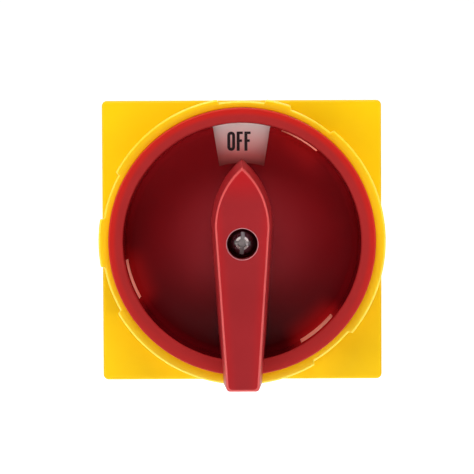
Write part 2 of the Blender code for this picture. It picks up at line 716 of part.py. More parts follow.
def make_stop_plate():
    """The steel disc whose tab ends the handle's travel."""
    start, stop = STOP_TAB_HALF_ANGLE, 360 - STOP_TAB_HALF_ANGLE
    body = [at_angle(STOP_RADIUS, start + (stop - start) * i / 28) for i in range(29)]
    tab = [at_angle(STOP_TAB_RADIUS, -start + 2 * start * i / 4) for i in range(5)]
    return prism("stop_plate", [body + tab, square(SHAFT_SIDE / 2 + GAP)], STOP_FRONT,
                 STOP_FRONT + STOP_THICKNESS, "zinc_steel")


def deck_front(deck):
    """y of the front face of contact deck 1 or 2, or of the rear cover as deck 3."""
    return LATCH_BACK + GAP + (deck - 1) * (DECK_DEPTH + GAP)


def deck_middle(deck):
    return deck_front(deck) + 0.0073


def make_cam(deck):
    """A cam whose radius rises evenly over each quarter turn, so that both plungers move evenly."""
    count = 48
    outline = []
    for i in range(count):
        degrees = 360 * i / count
        share = 1 - abs(degrees % 180 - 90) / 90
        outline.append(at_angle(CAM_HIGH - CAM_STROKE * (1 - share), degrees))
    middle, front, back = deck_middle(deck), deck_front(deck), deck_front(deck) + DECK_DEPTH
    cam = prism(f"cam_{deck}", [outline], middle - CAM_HALF_DEPTH, middle + CAM_HALF_DEPTH,
                "white_plastic")
    join(cam, shaft_rod(f"cam_hub_{deck}", front + 0.0001, back - 0.0001, CAM_HUB_RADIUS, segments=ROUND))
    half = SHAFT_SIDE / 2 + GAP
    cut(cam, box(f"cam_square_{deck}", (-half, front - 0.001, -half), (half, back + 0.001, half)))
    return cam


# ---------------------------------------------------------------- latch housing
def make_latch_housing():
    """The first housing behind the panel, open to the rear, for the index and stop mechanism."""
    housing = prism("latch_housing", [chamfered_square(BODY_SIDE / 2, BODY_CHAMFER)],
                    LATCH_FRONT, LATCH_BACK, "black_plastic")
    behind = LATCH_BACK + 0.001
    sweep_start = -STOP_TAB_HALF_ANGLE - STOP_PLAY_ANGLE
    sweep = HANDLE_TRAVEL - 2 * sweep_start
    sector = [at_angle(STOP_TAB_RADIUS + 0.0006, sweep_start + sweep * i / 16) for i in range(17)]
    cut(housing,
        shaft_rod("index_cavity", INDEX_FRONT, behind, INDEX_CAVITY, segments=FINE),
        prism("stop_sector", [[(0.0, 0.0)] + sector], STOP_FRONT - 0.0005, behind),
        shaft_rod("hub_bearing", 0.001, behind, STAR_HUB_RADIUS + GAP))
    for side in (1, -1):
        outer = LEAF_PATH[0][0] + 0.0008
        cut(housing,
            box(f"leaf_room_{side}", (0, INDEX_FRONT, -LEAF_ANCHOR), (side * outer, behind, LEAF_ANCHOR)),
            prism(f"leaf_slot_{side}", [leaf_outline(side, LEAF_THICKNESS / 2 + GAP, GAP)],
                  INDEX_FRONT + 0.0001, behind))
    for i, (x, z) in enumerate(square_corners()):
        pocket = square(MOUNT_NUT_SIDE / 2 + GAP, x, z)
        cut(housing, prism(f"nut_pocket_{i}", [pocket], MOUNT_NUT_FRONT - GAP, behind),
            shaft_rod(f"latch_screw_hole_{i}", 0.001, behind, MOUNT_SCREW_RADIUS + 0.00035,
                      segments=COARSE, x=x, z=z))
    for i, z in enumerate((BOLT_HEIGHT, -BOLT_HEIGHT)):
        cut(housing, shaft_rod(f"latch_bolt_hole_{i}", BOLT_TIP - 0.001, behind, BOLT_RADIUS + 0.00035,
                               segments=COARSE, z=z))
    return housing


def leaf_outline(side, half_thickness, extra_length=0.0):
    """The outline of a detent leaf: a strip of even thickness along the mirrored path."""
    path = [Vector(point) for point in LEAF_PATH]
    path[0] += (path[0] - path[1]).normalized() * extra_length
    path += [Vector((point.x, -point.y)) for point in reversed(path)]
    one_face, other_face = [], []
    for i, point in enumerate(path):
        before, after = path[max(i - 1, 0)], path[min(i + 1, len(path) - 1)]
        ways = [way.normalized() for way in (point - before, after - point) if way.length > 0]
        along = sum(ways, Vector((0, 0))).normalized()
        across = Vector((along.y, -along.x)) * half_thickness / along.dot(ways[0])
        one_face.append(point + across)
        other_face.append(point - across)
    return [(side * p.x, p.y) for p in one_face + other_face[::-1]]


def make_leaf_spring(side, name):
    """A steel leaf whose bent nose rests in a valley of the index star."""
    prism(f"detent_spring_{name}", [leaf_outline(side, LEAF_THICKNESS / 2)], LEAF_FRONT, LEAF_BACK,
          "spring_steel")


# ---------------------------------------------------------------- contact decks
def make_deck(deck, sides):
    """A contact deck's housing: a tray, open to the rear, with a chamber for each pole."""
    front = deck_front(deck)
    behind = front + DECK_DEPTH + 0.001
    floor = front + DECK_WALL
    housing = prism(f"deck_{deck}_housing", [chamfered_square(BODY_SIDE / 2, BODY_CHAMFER)], front,
                    front + DECK_DEPTH, "grey_plastic")
    cut(housing, shaft_rod(f"cam_cavity_{deck}", floor, behind, CAM_CAVITY, segments=FINE),
        shaft_rod(f"deck_bearing_{deck}", front - 0.001, floor + 0.001, CAM_HUB_RADIUS + GAP))
    for i, z in enumerate((BOLT_HEIGHT, -BOLT_HEIGHT)):
        cut(housing, shaft_rod(f"deck_bolt_{deck}_{i}", front - 0.001, behind, BOLT_RADIUS + 0.00035,
                               segments=COARSE, z=z))
    for side in sides:
        cut(housing, *pole_cutters(deck, side))
    return housing


def pole_cutters(deck, side):
    """What one pole takes out of its deck: guide, chamber, strip slots, screw and wire openings."""
    middle = deck_middle(deck)
    floor = deck_front(deck) + DECK_WALL
    behind = deck_front(deck) + DECK_DEPTH + 0.001
    outside = BODY_SIDE / 2 + 0.001
    tag = f"{deck}_{'right' if side > 0 else 'left'}"
    guide = PLUNGER_HALF_HEIGHT + GAP
    cutters = [
        box(f"guide_{tag}", (side * 0.008, middle - CONTACT_HALF_WIDTH - GAP, -guide),
            (side * (CHAMBER_INNER + 0.001), behind, guide)),
        box(f"chamber_{tag}", (side * CHAMBER_INNER, floor, -CHAMBER_HALF_HEIGHT),
            (side * CHAMBER_OUTER, behind, CHAMBER_HALF_HEIGHT))]
    outer_face = STRIP_INNER + STRIP_THICKNESS
    for up, way in ((1, "line"), (-1, "load")):
        height = up * TERMINAL_HEIGHT
        space = TERMINAL_HALF_SPACE
        cutters += [
            box(f"strip_slot_{tag}_{way}", (side * CHAMBER_INNER, middle - CONTACT_HALF_WIDTH - GAP, 0),
                (side * (outer_face + GAP), behind, up * (STRIP_END + GAP))),
            box(f"screw_room_{tag}_{way}",
                (side * outer_face, middle - TERMINAL_HALF_DEPTH, height - space),
                (side * outside, middle + TERMINAL_HALF_DEPTH, height + space)),
            box(f"wire_entry_{tag}_{way}", (side * outer_face, middle - WIRE_HALF_DEPTH, height),
                (side * (outer_face + WIRE_SPACE + GAP), middle + WIRE_HALF_DEPTH, up * outside)),
            rod(f"screw_tail_{tag}_{way}", (side * (TERMINAL_SCREW_TIP - 0.001), middle, height),
                (side * outer_face, middle, height), TERMINAL_SCREW_RADIUS + GAP)]
    return cutters


def make_terminal(pole, deck, side, up, way):
    """The fixed contact strip, clamp and screw on the line or the load side of a pole."""
    middle = deck_middle(deck)
    outer_face = STRIP_INNER + STRIP_THICKNESS
    height = up * TERMINAL_HEIGHT
    half = CONTACT_HALF_WIDTH
    strip = box(f"pole_{pole}_{way}_contact", (side * STRIP_INNER, middle - half, up * STRIP_START),
                (side * outer_face, middle + half, up * STRIP_END), "brass")
    tag = f"{pole}_{way}"
    join(strip, rod(f"fixed_tip_{tag}", (side * (outer_face - 0.0003), middle, up * TIP_OFFSET),
                    (side * (outer_face + TIP_HEIGHT), middle, up * TIP_OFFSET), TIP_RADIUS))
    cut(strip, rod(f"strip_hole_{tag}", (side * (STRIP_INNER - 0.001), middle, height),
                   (side * (outer_face + 0.001), middle, height), TERMINAL_SCREW_RADIUS + GAP))
    clamp_inner = outer_face + WIRE_SPACE
    clamp_outer = clamp_inner + CLAMP_THICKNESS
    side_half = CLAMP_HALF_SIDE
    clamp = box(f"pole_{pole}_{way}_clamp", (side * clamp_inner, middle - side_half, height - side_half),
                (side * clamp_outer, middle + side_half, height + side_half), "zinc_steel")
    cut(clamp, rod(f"clamp_hole_{tag}", (side * (clamp_inner - 0.001), middle, height),
                   (side * (clamp_outer + 0.001), middle, height), TERMINAL_SCREW_RADIUS + GAP))
    screw(f"pole_{pole}_{way}_screw", (side * (clamp_outer + GAP), middle, height), (side, 0, 0),
          TERMINAL_HEAD_RADIUS, TERMINAL_HEAD_HEIGHT, TERMINAL_SCREW_RADIUS,
          (side * TERMINAL_SCREW_TIP, middle, height), "zinc_steel", slot_reach=0.7)


def make_moving_contact(pole, deck, side):
    """The plunger, the contact bridge that it carries, and the spring that closes them."""
    middle = deck_middle(deck)
    half = CONTACT_HALF_WIDTH
    tip = CAM_HIGH + PLUNGER_CLEARANCE
    closed_face = STRIP_INNER + STRIP_THICKNESS + TIP_HEIGHT + GAP
    bridge_tip = closed_face + CAM_STROKE
    bridge_inner = bridge_tip + TIP_HEIGHT
    bridge_outer = bridge_inner + BRIDGE_THICKNESS
    shoulder = bridge_inner - GAP
    nose = [(tip + PLUNGER_NOSE * (1 - math.cos(a)), PLUNGER_NOSE * math.sin(a))
            for a in map(math.radians, range(-60, 61, 20))]
    body_front = tip + 0.0016
    body = [(body_front, PLUNGER_HALF_HEIGHT), (shoulder, PLUNGER_HALF_HEIGHT),
            (shoulder, -PLUNGER_HALF_HEIGHT), (body_front, -PLUNGER_HALF_HEIGHT)]
    plunger = prism(f"pole_{pole}_plunger", [[(side * x, z) for x, z in nose + body]], middle - half,
                    middle + half, "white_plastic")
    stem_end = CHAMBER_OUTER - 0.0015
    join(plunger, rod(f"stem_{pole}", (side * (shoulder - 0.001), middle, 0), (side * stem_end, middle, 0),
                      STEM_RADIUS))
    bridge = box(f"pole_{pole}_bridge", (side * bridge_inner, middle - half, -BRIDGE_HALF_LENGTH),
                 (side * bridge_outer, middle + half, BRIDGE_HALF_LENGTH), "copper")
    for up in (1, -1):
        join(bridge, rod(f"moving_tip_{pole}_{up}", (side * bridge_tip, middle, up * TIP_OFFSET),
                         (side * (bridge_inner + 0.0003), middle, up * TIP_OFFSET), TIP_RADIUS))
    cut(bridge, rod(f"stem_hole_{pole}", (side * (bridge_inner - 0.001), middle, 0),
                    (side * (bridge_outer + 0.001), middle, 0), STEM_RADIUS + GAP))
    helix(f"pole_{pole}_spring", (side * (bridge_outer + GAP), middle, 0),
          (side * (CHAMBER_OUTER - GAP), middle, 0), 0.0023, 0.0005, 3.5, "spring_steel")


def make_rear():
    """The cover behind the last deck and the two bolts that hold the stack together."""
    front = deck_front(3)
    back = front + REAR_COVER_THICKNESS
    cover = prism("rear_cover", [chamfered_square(BODY_SIDE / 2, BODY_CHAMFER), circle(0.0046, ROUND)],
                  front, back, "black_plastic")
    bevel(cover, 0.0005, segments=1, angle=80)
    for i, (z, name) in enumerate(((BOLT_HEIGHT, "top"), (-BOLT_HEIGHT, "bottom"))):
        cut(cover, shaft_rod(f"cover_bolt_{i}", front - 0.001, back + 0.001, BOLT_RADIUS + 0.00035,
                             segments=COARSE, z=z))
        screw(f"through_bolt_{name}", (0, back + GAP, z), (0, 1, 0), BOLT_HEAD_RADIUS, BOLT_HEAD_HEIGHT,
              BOLT_RADIUS, (0, BOLT_TIP, z), "zinc_steel", slot_reach=0.75)


def main():
    make_handle()
    make_lock_ring()
    make_front_plate()
    make_legend_plate()
    make_seals()
    make_fixings()
    make_shaft()
    make_index_star()
    make_stop_plate()
    make_latch_housing()
    for side, name in ((1, "right"), (-1, "left")):
        make_leaf_spring(side, name)
    for deck in (1, 2):
        make_cam(deck)
        make_deck(deck, [side for site, side in POLE_SITES if site == deck])
    for pole, (deck, side) in enumerate(POLE_SITES, start=1):
        make_moving_contact(pole, deck, side)
        for up, way in ((1, "line"), (-1, "load")):
            make_terminal(pole, deck, side, up, way)
    make_rear()


main()
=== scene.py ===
"""Looks of the rotary isolator switch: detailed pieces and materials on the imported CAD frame."""

import json
import math

import bmesh
import bpy
from mathutils import Matrix, Vector


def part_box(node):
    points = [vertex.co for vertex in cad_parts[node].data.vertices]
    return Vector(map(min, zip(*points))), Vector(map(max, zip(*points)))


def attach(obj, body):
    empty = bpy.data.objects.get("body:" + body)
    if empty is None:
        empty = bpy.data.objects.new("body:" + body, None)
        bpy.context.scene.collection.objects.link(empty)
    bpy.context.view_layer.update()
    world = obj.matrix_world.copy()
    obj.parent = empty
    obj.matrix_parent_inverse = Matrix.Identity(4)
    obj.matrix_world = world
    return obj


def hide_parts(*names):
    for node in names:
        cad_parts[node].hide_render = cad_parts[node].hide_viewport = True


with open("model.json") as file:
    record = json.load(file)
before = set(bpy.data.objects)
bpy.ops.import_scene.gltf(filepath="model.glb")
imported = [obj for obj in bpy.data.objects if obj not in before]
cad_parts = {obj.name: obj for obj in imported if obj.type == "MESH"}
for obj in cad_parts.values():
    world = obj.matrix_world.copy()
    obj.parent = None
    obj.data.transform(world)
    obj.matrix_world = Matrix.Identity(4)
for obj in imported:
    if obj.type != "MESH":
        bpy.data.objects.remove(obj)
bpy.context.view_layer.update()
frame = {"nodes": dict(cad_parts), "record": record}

# ---------------------------------------------------------------- sizes taken from the CAD frame
PLATE_LOW, PLATE_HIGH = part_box("front_plate")
RING_LOW, RING_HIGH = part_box("lock_ring")
HANDLE_LOW, HANDLE_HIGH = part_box("handle")
LEGEND_LOW, LEGEND_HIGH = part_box("legend_plate")

GAP = 0.0003
PLATE_FRONT = PLATE_LOW.y
PLATE_BACK = PLATE_HIGH.y
PLATE_HALF = PLATE_HIGH.x
PLATE_CORNER = 0.0012
PLATE_WALL = 0.0018
PLATE_SKIN = 0.0022
WELL_RADIUS = 0.0285
WELL_FACE = PLATE_FRONT + 0.0025
WELL_BACK = WELL_FACE + 0.0022
BOSS_END = -0.0018
SEAL_SEAT = -0.0041
MOUNT_PITCH = 0.0165
MOUNT_SEAT = -0.0039
MOUNT_HEAD_RADIUS = 0.0035
MOUNT_SCREW_RADIUS = 0.00195
HUB_RADIUS = 0.0070

RING_OUTER = RING_HIGH.x
RING_INNER = 0.0301
RING_TOP = RING_LOW.y
RING_FOOT = PLATE_FRONT - GAP
RING_EDGE = 0.00045
RING_RECESS_RADIUS = 0.0316
RING_RECESS_WIDTH = 0.0109
RING_RECESSES = (0, 30, 140, 250, 289)
PADLOCK_ANGLES = (30, 140, 250)
PEG_ANGLES = (45, 135, 225, 315)
PEG_CIRCLE = 0.0313
PEG_RADIUS = 0.0008
PEG_HEAD_RADIUS = 0.0013
PADLOCK_WINDOW_WIDTH = 0.0096
PADLOCK_WINDOW_FRONT = RING_TOP + 0.0014
PADLOCK_WINDOW_BACK = PLATE_FRONT - 0.0013

RIM_OUTER = HANDLE_HIGH.x
RIM_INNER = 0.0267
RIM_TOP = PLATE_FRONT - 0.0110
RIM_EDGE = 0.0004
RIM_THICKNESS = 0.0017
SKIRT_INNER = 0.0288
SKIRT_END = PLATE_FRONT - 0.0010
WALL_OUTER = 0.0276
FOOT_RADIUS = 0.0265
FILLET = 0.0016
FOOT = PLATE_FRONT - 0.0006
CENTRE = PLATE_FRONT - 0.0029
DISH_THICKNESS = 0.0015
DISH_BACK = FOOT + DISH_THICKNESS
SLOT_HALF_SWEEP = 9.95       # degrees
SLOTS = ((30, 0.02642), (140, 0.02630), (251, 0.02638))     # middle in degrees, inner radius
SLOT_FRONT = PLATE_FRONT - 0.0070
WINDOW_OUTER = 0.0268
WINDOW_LOW = (0.0051, 0.0169)      # half width and height of the window's lower corners
WINDOW_HIGH = (0.0065, 0.0258)     # and of its upper corners
GRIP_TOP = HANDLE_LOW.y
GRIP_END = HANDLE_LOW.z + 0.0004
GRIP_EDGE = 0.00045
GRIP_UNDERSIDE = RIM_TOP + 0.0006
GRIP_WALL = 0.0020
GRIP_HALF_WIDTH = (0.00700, 0.00595)         # at the dish and at the grip's top
GRIP_TAIL_HALF_WIDTH = (0.00470, 0.00360)
GRIP_TIP = (0.0186, 0.0167)
GRIP_SHOULDER = 0.0035                       # z where the nose begins
GRIP_CORNER = 0.0008
SCREW_WELL_RADIUS = 0.00335
SCREW_WELL_LIP = 0.00016
SCREW_SEAT = GRIP_TOP + 0.0095
SOCKET_FLOOR = SCREW_SEAT + 0.0026
SHAFT_HALF = 0.0030
HANDLE_SCREW_RADIUS = 0.0015

LEGEND_RADIUS = 0.0279
LEGEND_BORE = 0.0099
LEGEND_CHAMFER = 0.0001
LETTER_WIDTHS = {"O": 0.00180, "F": 0.00142, "N": 0.00180}
LETTER_SPACE = 0.00036
LETTER_STROKE = 0.00068
LETTER_HEIGHT = 0.0044
LETTER_BASE = 0.0203
LETTER_LIFT = 0.00015
LETTER_THICKNESS = 0.00004
LETTER_PROUD = 0.000005      # of the legend's face, so that the two don't share a surface
OFF_SHIFT = -0.0006          # OFF is printed a little left of the window's middle

# The handle's material slots, in order
SATIN, GLOSS, GRIP_FACE, GRIP_ROUNDING, GRIP_FLANK, SLOT_LIT, WELL_RIM, DISH_WALL = range(8)
HANDLE_LOOKS = ("red_satin", "red_gloss", "red_grip", "red_edge_highlight", "red_flank_painted_light", "red_lit", "red_lip_highlight",
                "red_wall")


# ---------------------------------------------------------------- mesh helpers
def new_object(name, mesh):
    obj = bpy.data.objects.new(name, mesh)
    bpy.context.scene.collection.objects.link(obj)
    return obj


def finish_mesh(name, shape):
    """Closes a bmesh's seams, turns its faces outwards and makes an object of it."""
    bmesh.ops.remove_doubles(shape, verts=shape.verts, dist=1e-7)
    bmesh.ops.recalc_face_normals(shape, faces=shape.faces)
    mesh = bpy.data.meshes.new(name)
    shape.to_mesh(mesh)
    shape.free()
    return new_object(name, mesh)


def at_angle(radius, degrees):
    """The (x, z) point at an angle clockwise from the top."""
    a = math.radians(degrees)
    return radius * math.sin(a), radius * math.cos(a)


def lathe(name, profile, steps=192, closed=True, slots=None):
    """Turns (radius, y) points about the Y axis; slots gives the material slot of each segment."""
    shape = bmesh.new()
    rows = []
    for radius, y in profile:
        if radius < 1e-9:
            rows.append([shape.verts.new((0, y, 0))] * steps)
        else:
            rows.append([shape.verts.new((x, y, z))
                         for x, z in (at_angle(radius, 360 * i / steps) for i in range(steps))])
    count = len(rows)
    for k in range(count if closed else count - 1):
        near, far = rows[k], rows[(k + 1) % count]
        for i in range(steps):
            j = (i + 1) % steps
            corners = list(dict.fromkeys((near[i], near[j], far[j], far[i])))
            if len(corners) > 2:
                face = shape.faces.new(corners)
                face.material_index = slots[k] if slots else 0
    return finish_mesh(name, shape)


def loft(name, sections, slot=0):
    """A closed solid through (y, outline) sections that have the same number of points."""
    shape = bmesh.new()
    rows = [[shape.verts.new((x, y, z)) for x, z in outline] for y, outline in sections]
    count = len(rows[0])
    for near, far in zip(rows, rows[1:]):
        for i in range(count):
            j = (i + 1) % count
            shape.faces.new((near[i], near[j], far[j], far[i]))
    shape.faces.new(rows[0])
    shape.faces.new(rows[-1])
    for face in shape.faces:
        face.material_index = slot
    return finish_mesh(name, shape)


def prism(name, outline, y_front, y_back, slot=0):
    """An (x, z) outline extruded between two depths."""
    return loft(name, [(y_front, outline), (y_back, outline)], slot)


def box(name, low, high):
    low, high = Vector(low), Vector(high)
    shape = bmesh.new()
    bmesh.ops.create_cube(shape, size=1)
    bmesh.ops.scale(shape, vec=[abs(b - a) for a, b in zip(low, high)], verts=shape.verts)
    bmesh.ops.translate(shape, vec=(low + high) / 2, verts=shape.verts)
    return finish_mesh(name, shape)


def circle(radius, count, x=0.0, z=0.0):
    points = [at_angle(radius, 360 * i / count) for i in range(count)]
    return [(x + px, z + pz) for px, pz in points]


def square(half, x=0.0, z=0.0):
    return [(x - half, z - half), (x + half, z - half), (x + half, z + half), (x - half, z + half)]


def shaft_rod(name, y_front, y_back, radius, x=0.0, z=0.0, count=64):
    return prism(name, circle(radius, count, x, z), y_front, y_back)


def rounded_square(half, corner, inset=0.0, count=8):
    """A square outline with round corners, drawn in by an inset."""
    outline = []
    half, corner = half - inset, max(corner - inset, 0.0001)
    for quadrant, (sx, sz) in enumerate(((1, 1), (1, -1), (-1, -1), (-1, 1))):
        for i in range(count + 1):
            dx, dz = at_angle(corner, 90 * (quadrant + i / count))
            outline.append((sx * (half - corner) + dx, sz * (half - corner) + dz))
    return outline


def carve(obj, cutters, operation="DIFFERENCE"):
    """Applies Booleans with each cutter in turn, and removes the cutters."""
    for cutter in cutters:
        modifier = obj.modifiers.new(cutter.name, "BOOLEAN")
        modifier.operation = operation
        modifier.solver = "EXACT"
        modifier.object = cutter
    bpy.context.view_layer.update()
    evaluated = obj.evaluated_get(bpy.context.evaluated_depsgraph_get())
    mesh = bpy.data.meshes.new_from_object(evaluated)
    obj.modifiers.clear()
    obj.data = mesh
    for cutter in cutters:
        bpy.data.objects.remove(cutter)
    return obj


def radial_box(name, degrees, near, far, width, y_front, y_back):
    """A box that points away from the axis at an angle."""
    obj = box(name, (-width / 2, y_front, near), (width / 2, y_back, far))
    obj.data.transform(Matrix.Rotation(math.radians(degrees), 4, "Y"))
    return obj


def ring_sector(name, degrees, near, far, y_front, y_back, slot=0):
    """A piece of a ring either side of an angle."""
    sweep = [degrees + SLOT_HALF_SWEEP * i / 10 for i in range(-10, 11)]
    outline = [at_angle(far, a) for a in sweep] + [at_angle(near, a) for a in reversed(sweep)]
    return prism(name, outline, y_front, y_back, slot)


def smooth(obj, angle=32):
    """Smooth shading with sharp edges where faces meet at more than an angle."""
    obj.data.shade_smooth()
    obj.data.set_sharp_from_angle(angle=math.radians(angle))


def round_edge(radius, low, high, steps=4):
    """Offsets (inset, y) round a quarter circle between two depths, for a moulded edge."""
    points = []
    for i in range(steps + 1):
        a = math.pi / 2 * i / steps
        points.append((radius * (1 - math.cos(a)), low + (high - low) * math.sin(a)))
    return points


# ---------------------------------------------------------------- material helpers
def new_material(name):
    material = bpy.data.materials.new(name)
    material.use_nodes = True
    nodes, links = material.node_tree.nodes, material.node_tree.links
    shader = nodes["Principled BSDF"]
    coords = nodes.new("ShaderNodeTexCoord")
    return material, nodes, links, shader, coords.outputs["Object"]


def noise(nodes, links, coords, scale, detail=3.0, stretch=None):
    if stretch:
        mapping = nodes.new("ShaderNodeMapping")
        mapping.inputs["Scale"].default_value = stretch
        links.new(coords, mapping.inputs["Vector"])
        coords = mapping.outputs["Vector"]
    texture = nodes.new("ShaderNodeTexNoise")
    texture.inputs["Scale"].default_value = scale
    texture.inputs["Detail"].default_value = detail
    links.new(coords, texture.inputs["Vector"])
    return texture.outputs["Fac"]


def ramp(nodes, links, value, stops):
    node = nodes.new("ShaderNodeValToRGB")
    elements = node.color_ramp.elements
    while len(elements) < len(stops):
        elements.new(0.5)
    for element, (position, colour) in zip(elements, stops):
        element.position = position
        element.color = (*colour, 1)
    links.new(value, node.inputs["Fac"])
    return node.outputs["Color"]


def spread(nodes, links, value, low, high):
    """A noise value mapped to between low and high."""
    node = nodes.new("ShaderNodeMapRange")
    node.inputs["From Min"].default_value = 0.3
    node.inputs["From Max"].default_value = 0.7
    node.inputs["To Min"].default_value = low
    node.inputs["To Max"].default_value = high
    links.new(value, node.inputs["Value"])
    return node.outputs["Result"]


def add_bump(nodes, links, shader, height, distance, strength, edge=0.00012):
    """Surface grain, over edges that catch the light as if rounded."""
    bevel = nodes.new("ShaderNodeBevel")
    bevel.samples = 4
    bevel.inputs["Radius"].default_value = edge
    bump = nodes.new("ShaderNodeBump")
    bump.inputs["Distance"].default_value = distance
    bump.inputs["Strength"].default_value = strength
    links.new(bevel.outputs["Normal"], bump.inputs["Normal"])
    links.new(height, bump.inputs["Height"])
    links.new(bump.outputs["Normal"], shader.inputs["Normal"])


def calc(nodes, links, operation, *values):
    """A maths node; each value is a number or the output of another node."""
    node = nodes.new("ShaderNodeMath")
    node.operation = operation
    for socket, value in zip(node.inputs, values):
        if isinstance(value, (int, float)):
            socket.default_value = value
        else:
            links.new(value, socket)
    return node.outputs["Value"]


def rise(nodes, links, value, low, high):
    """0 up to low and 1 from high, with a soft step between them."""
    node = nodes.new("ShaderNodeMapRange")
    node.interpolation_type = "SMOOTHSTEP"
    node.inputs["From Min"].default_value = low
    node.inputs["From Max"].default_value = high
    links.new(value, node.inputs["Value"])
    return node.outputs["Result"]


def round_axis(nodes, links, coords):
    """The position across the shaft's axis, as x, z and the radius."""
    split = nodes.new("ShaderNodeSeparateXYZ")
    links.new(coords, split.inputs["Vector"])
    x, z = split.outputs["X"], split.outputs["Z"]
    squares = calc(nodes, links, "ADD", calc(nodes, links, "MULTIPLY", x, x),
                   calc(nodes, links, "MULTIPLY", z, z))
    return x, z, calc(nodes, links, "SQRT", squares)


def blend(nodes, links, factor, low, high):
    """Mixes two colours, which are colour outputs or red, green and blue values."""
    node = nodes.new("ShaderNodeMix")
    node.data_type = "RGBA"
    links.new(factor, node.inputs["Factor"])
    for name, value in (("A", low), ("B", high)):
        socket = next(i for i in node.inputs if i.name == name and i.type == "RGBA")
        if isinstance(value, tuple):
            socket.default_value = (*value, 1)
        else:
            links.new(value, socket)
    return next(o for o in node.outputs if o.type == "RGBA")


def plastic(name, dark, light, roughness, grain=2200.0, depth=0.00002, strength=0.25, specular=0.5):
    """A moulded plastic: slow colour drift, fine spark-eroded grain and uneven gloss."""
    material, nodes, links, shader, coords = new_material(name)
    drift = noise(nodes, links, coords, 55.0, 4.0)
    links.new(ramp(nodes, links, drift, [(0.3, dark), (0.7, light)]), shader.inputs["Base Color"])
    fine = noise(nodes, links, coords, grain, 2.0)
    links.new(spread(nodes, links, noise(nodes, links, coords, grain / 6, 3.0), roughness - 0.04,
                     roughness + 0.05), shader.inputs["Roughness"])
    shader.inputs["Specular IOR Level"].default_value = specular
    add_bump(nodes, links, shader, fine, depth, strength)
    return material


def metal(name, dark, light, roughness, stretch=(1, 1, 1), grain=900.0):
    """A plated or drawn metal with a faint lay, small colour changes and handling wear."""
    material, nodes, links, shader, coords = new_material(name)
    drift = noise(nodes, links, coords, 180.0, 4.0)
    links.new(ramp(nodes, links, drift, [(0.3, dark), (0.7, light)]), shader.inputs["Base Color"])
    lay = noise(nodes, links, coords, grain, 3.0, stretch)
    links.new(spread(nodes, links, lay, roughness - 0.07, roughness + 0.09), shader.inputs["Roughness"])
    shader.inputs["Metallic"].default_value = 1.0
    add_bump(nodes, links, shader, lay, 0.00001, 0.2, edge=0.0001)
    return material


def tinted(material, colour):
    """Puts a worked-out colour in a plastic's base colour, in place of its drift ramp."""
    material.node_tree.links.new(colour, material.node_tree.nodes["Principled BSDF"].inputs["Base Color"])
    return material


def rim_plastic():
    """Satin red with a painted highlight: purer and brighter towards the rim's outer edge, and strongest on
    its upper side.
    """
    material = plastic("red_satin", (0.345, 0.018, 0.018), (0.39, 0.020, 0.020), 0.42, depth=0.00003,
                       strength=0.35, specular=0.12)
    nodes, links = material.node_tree.nodes, material.node_tree.links
    drift = nodes["Principled BSDF"].inputs["Base Color"].links[0].from_socket
    _, z, radius = round_axis(nodes, links, nodes["Texture Coordinate"].outputs["Object"])
    # painted light from above: the edge's highlight fades towards the rim's lower side
    height = rise(nodes, links, z, -0.024, 0.004)
    upper = calc(nodes, links, "ADD", calc(nodes, links, "MULTIPLY", height, 0.75), 0.25)
    outer = calc(nodes, links, "MULTIPLY", rise(nodes, links, radius, 0.0280, 0.0292), upper)
    # painted highlight: purer red round the outer edge, and an orange one along its lip
    painted_rim_highlight = blend(nodes, links, outer, drift, (0.52, 0.014, 0.010))
    lip = calc(nodes, links, "MULTIPLY", rise(nodes, links, radius, 0.0295, 0.0300), upper)
    edge = blend(nodes, links, lip, painted_rim_highlight, (0.70, 0.045, 0.015))
    return tinted(material, edge)


def grip_plastic():
    """The grip's top with a painted sheen: duller along its middle, purer at its sides and nose."""
    material = plastic("red_grip", (0.288, 0.014, 0.017), (0.330, 0.016, 0.020), 0.45, depth=0.00003,
                       strength=0.35, specular=0.12)
    nodes, links = material.node_tree.nodes, material.node_tree.links
    drift = nodes["Principled BSDF"].inputs["Base Color"].links[0].from_socket
    x, z, _ = round_axis(nodes, links, nodes["Texture Coordinate"].outputs["Object"])
    # painted sheen: purer red towards the grip's sides and towards its nose
    across = calc(nodes, links, "SUBTRACT", calc(nodes, links, "ABSOLUTE", x),
                  calc(nodes, links, "MULTIPLY", z, 0.0656))
    side = calc(nodes, links, "MAXIMUM",
                calc(nodes, links, "MULTIPLY", rise(nodes, links, across, 0.0030, 0.0052), 0.55),
                rise(nodes, links, z, 0.0080, 0.0150))
    return tinted(material, blend(nodes, links, side, drift, (0.44, 0.011, 0.014)))


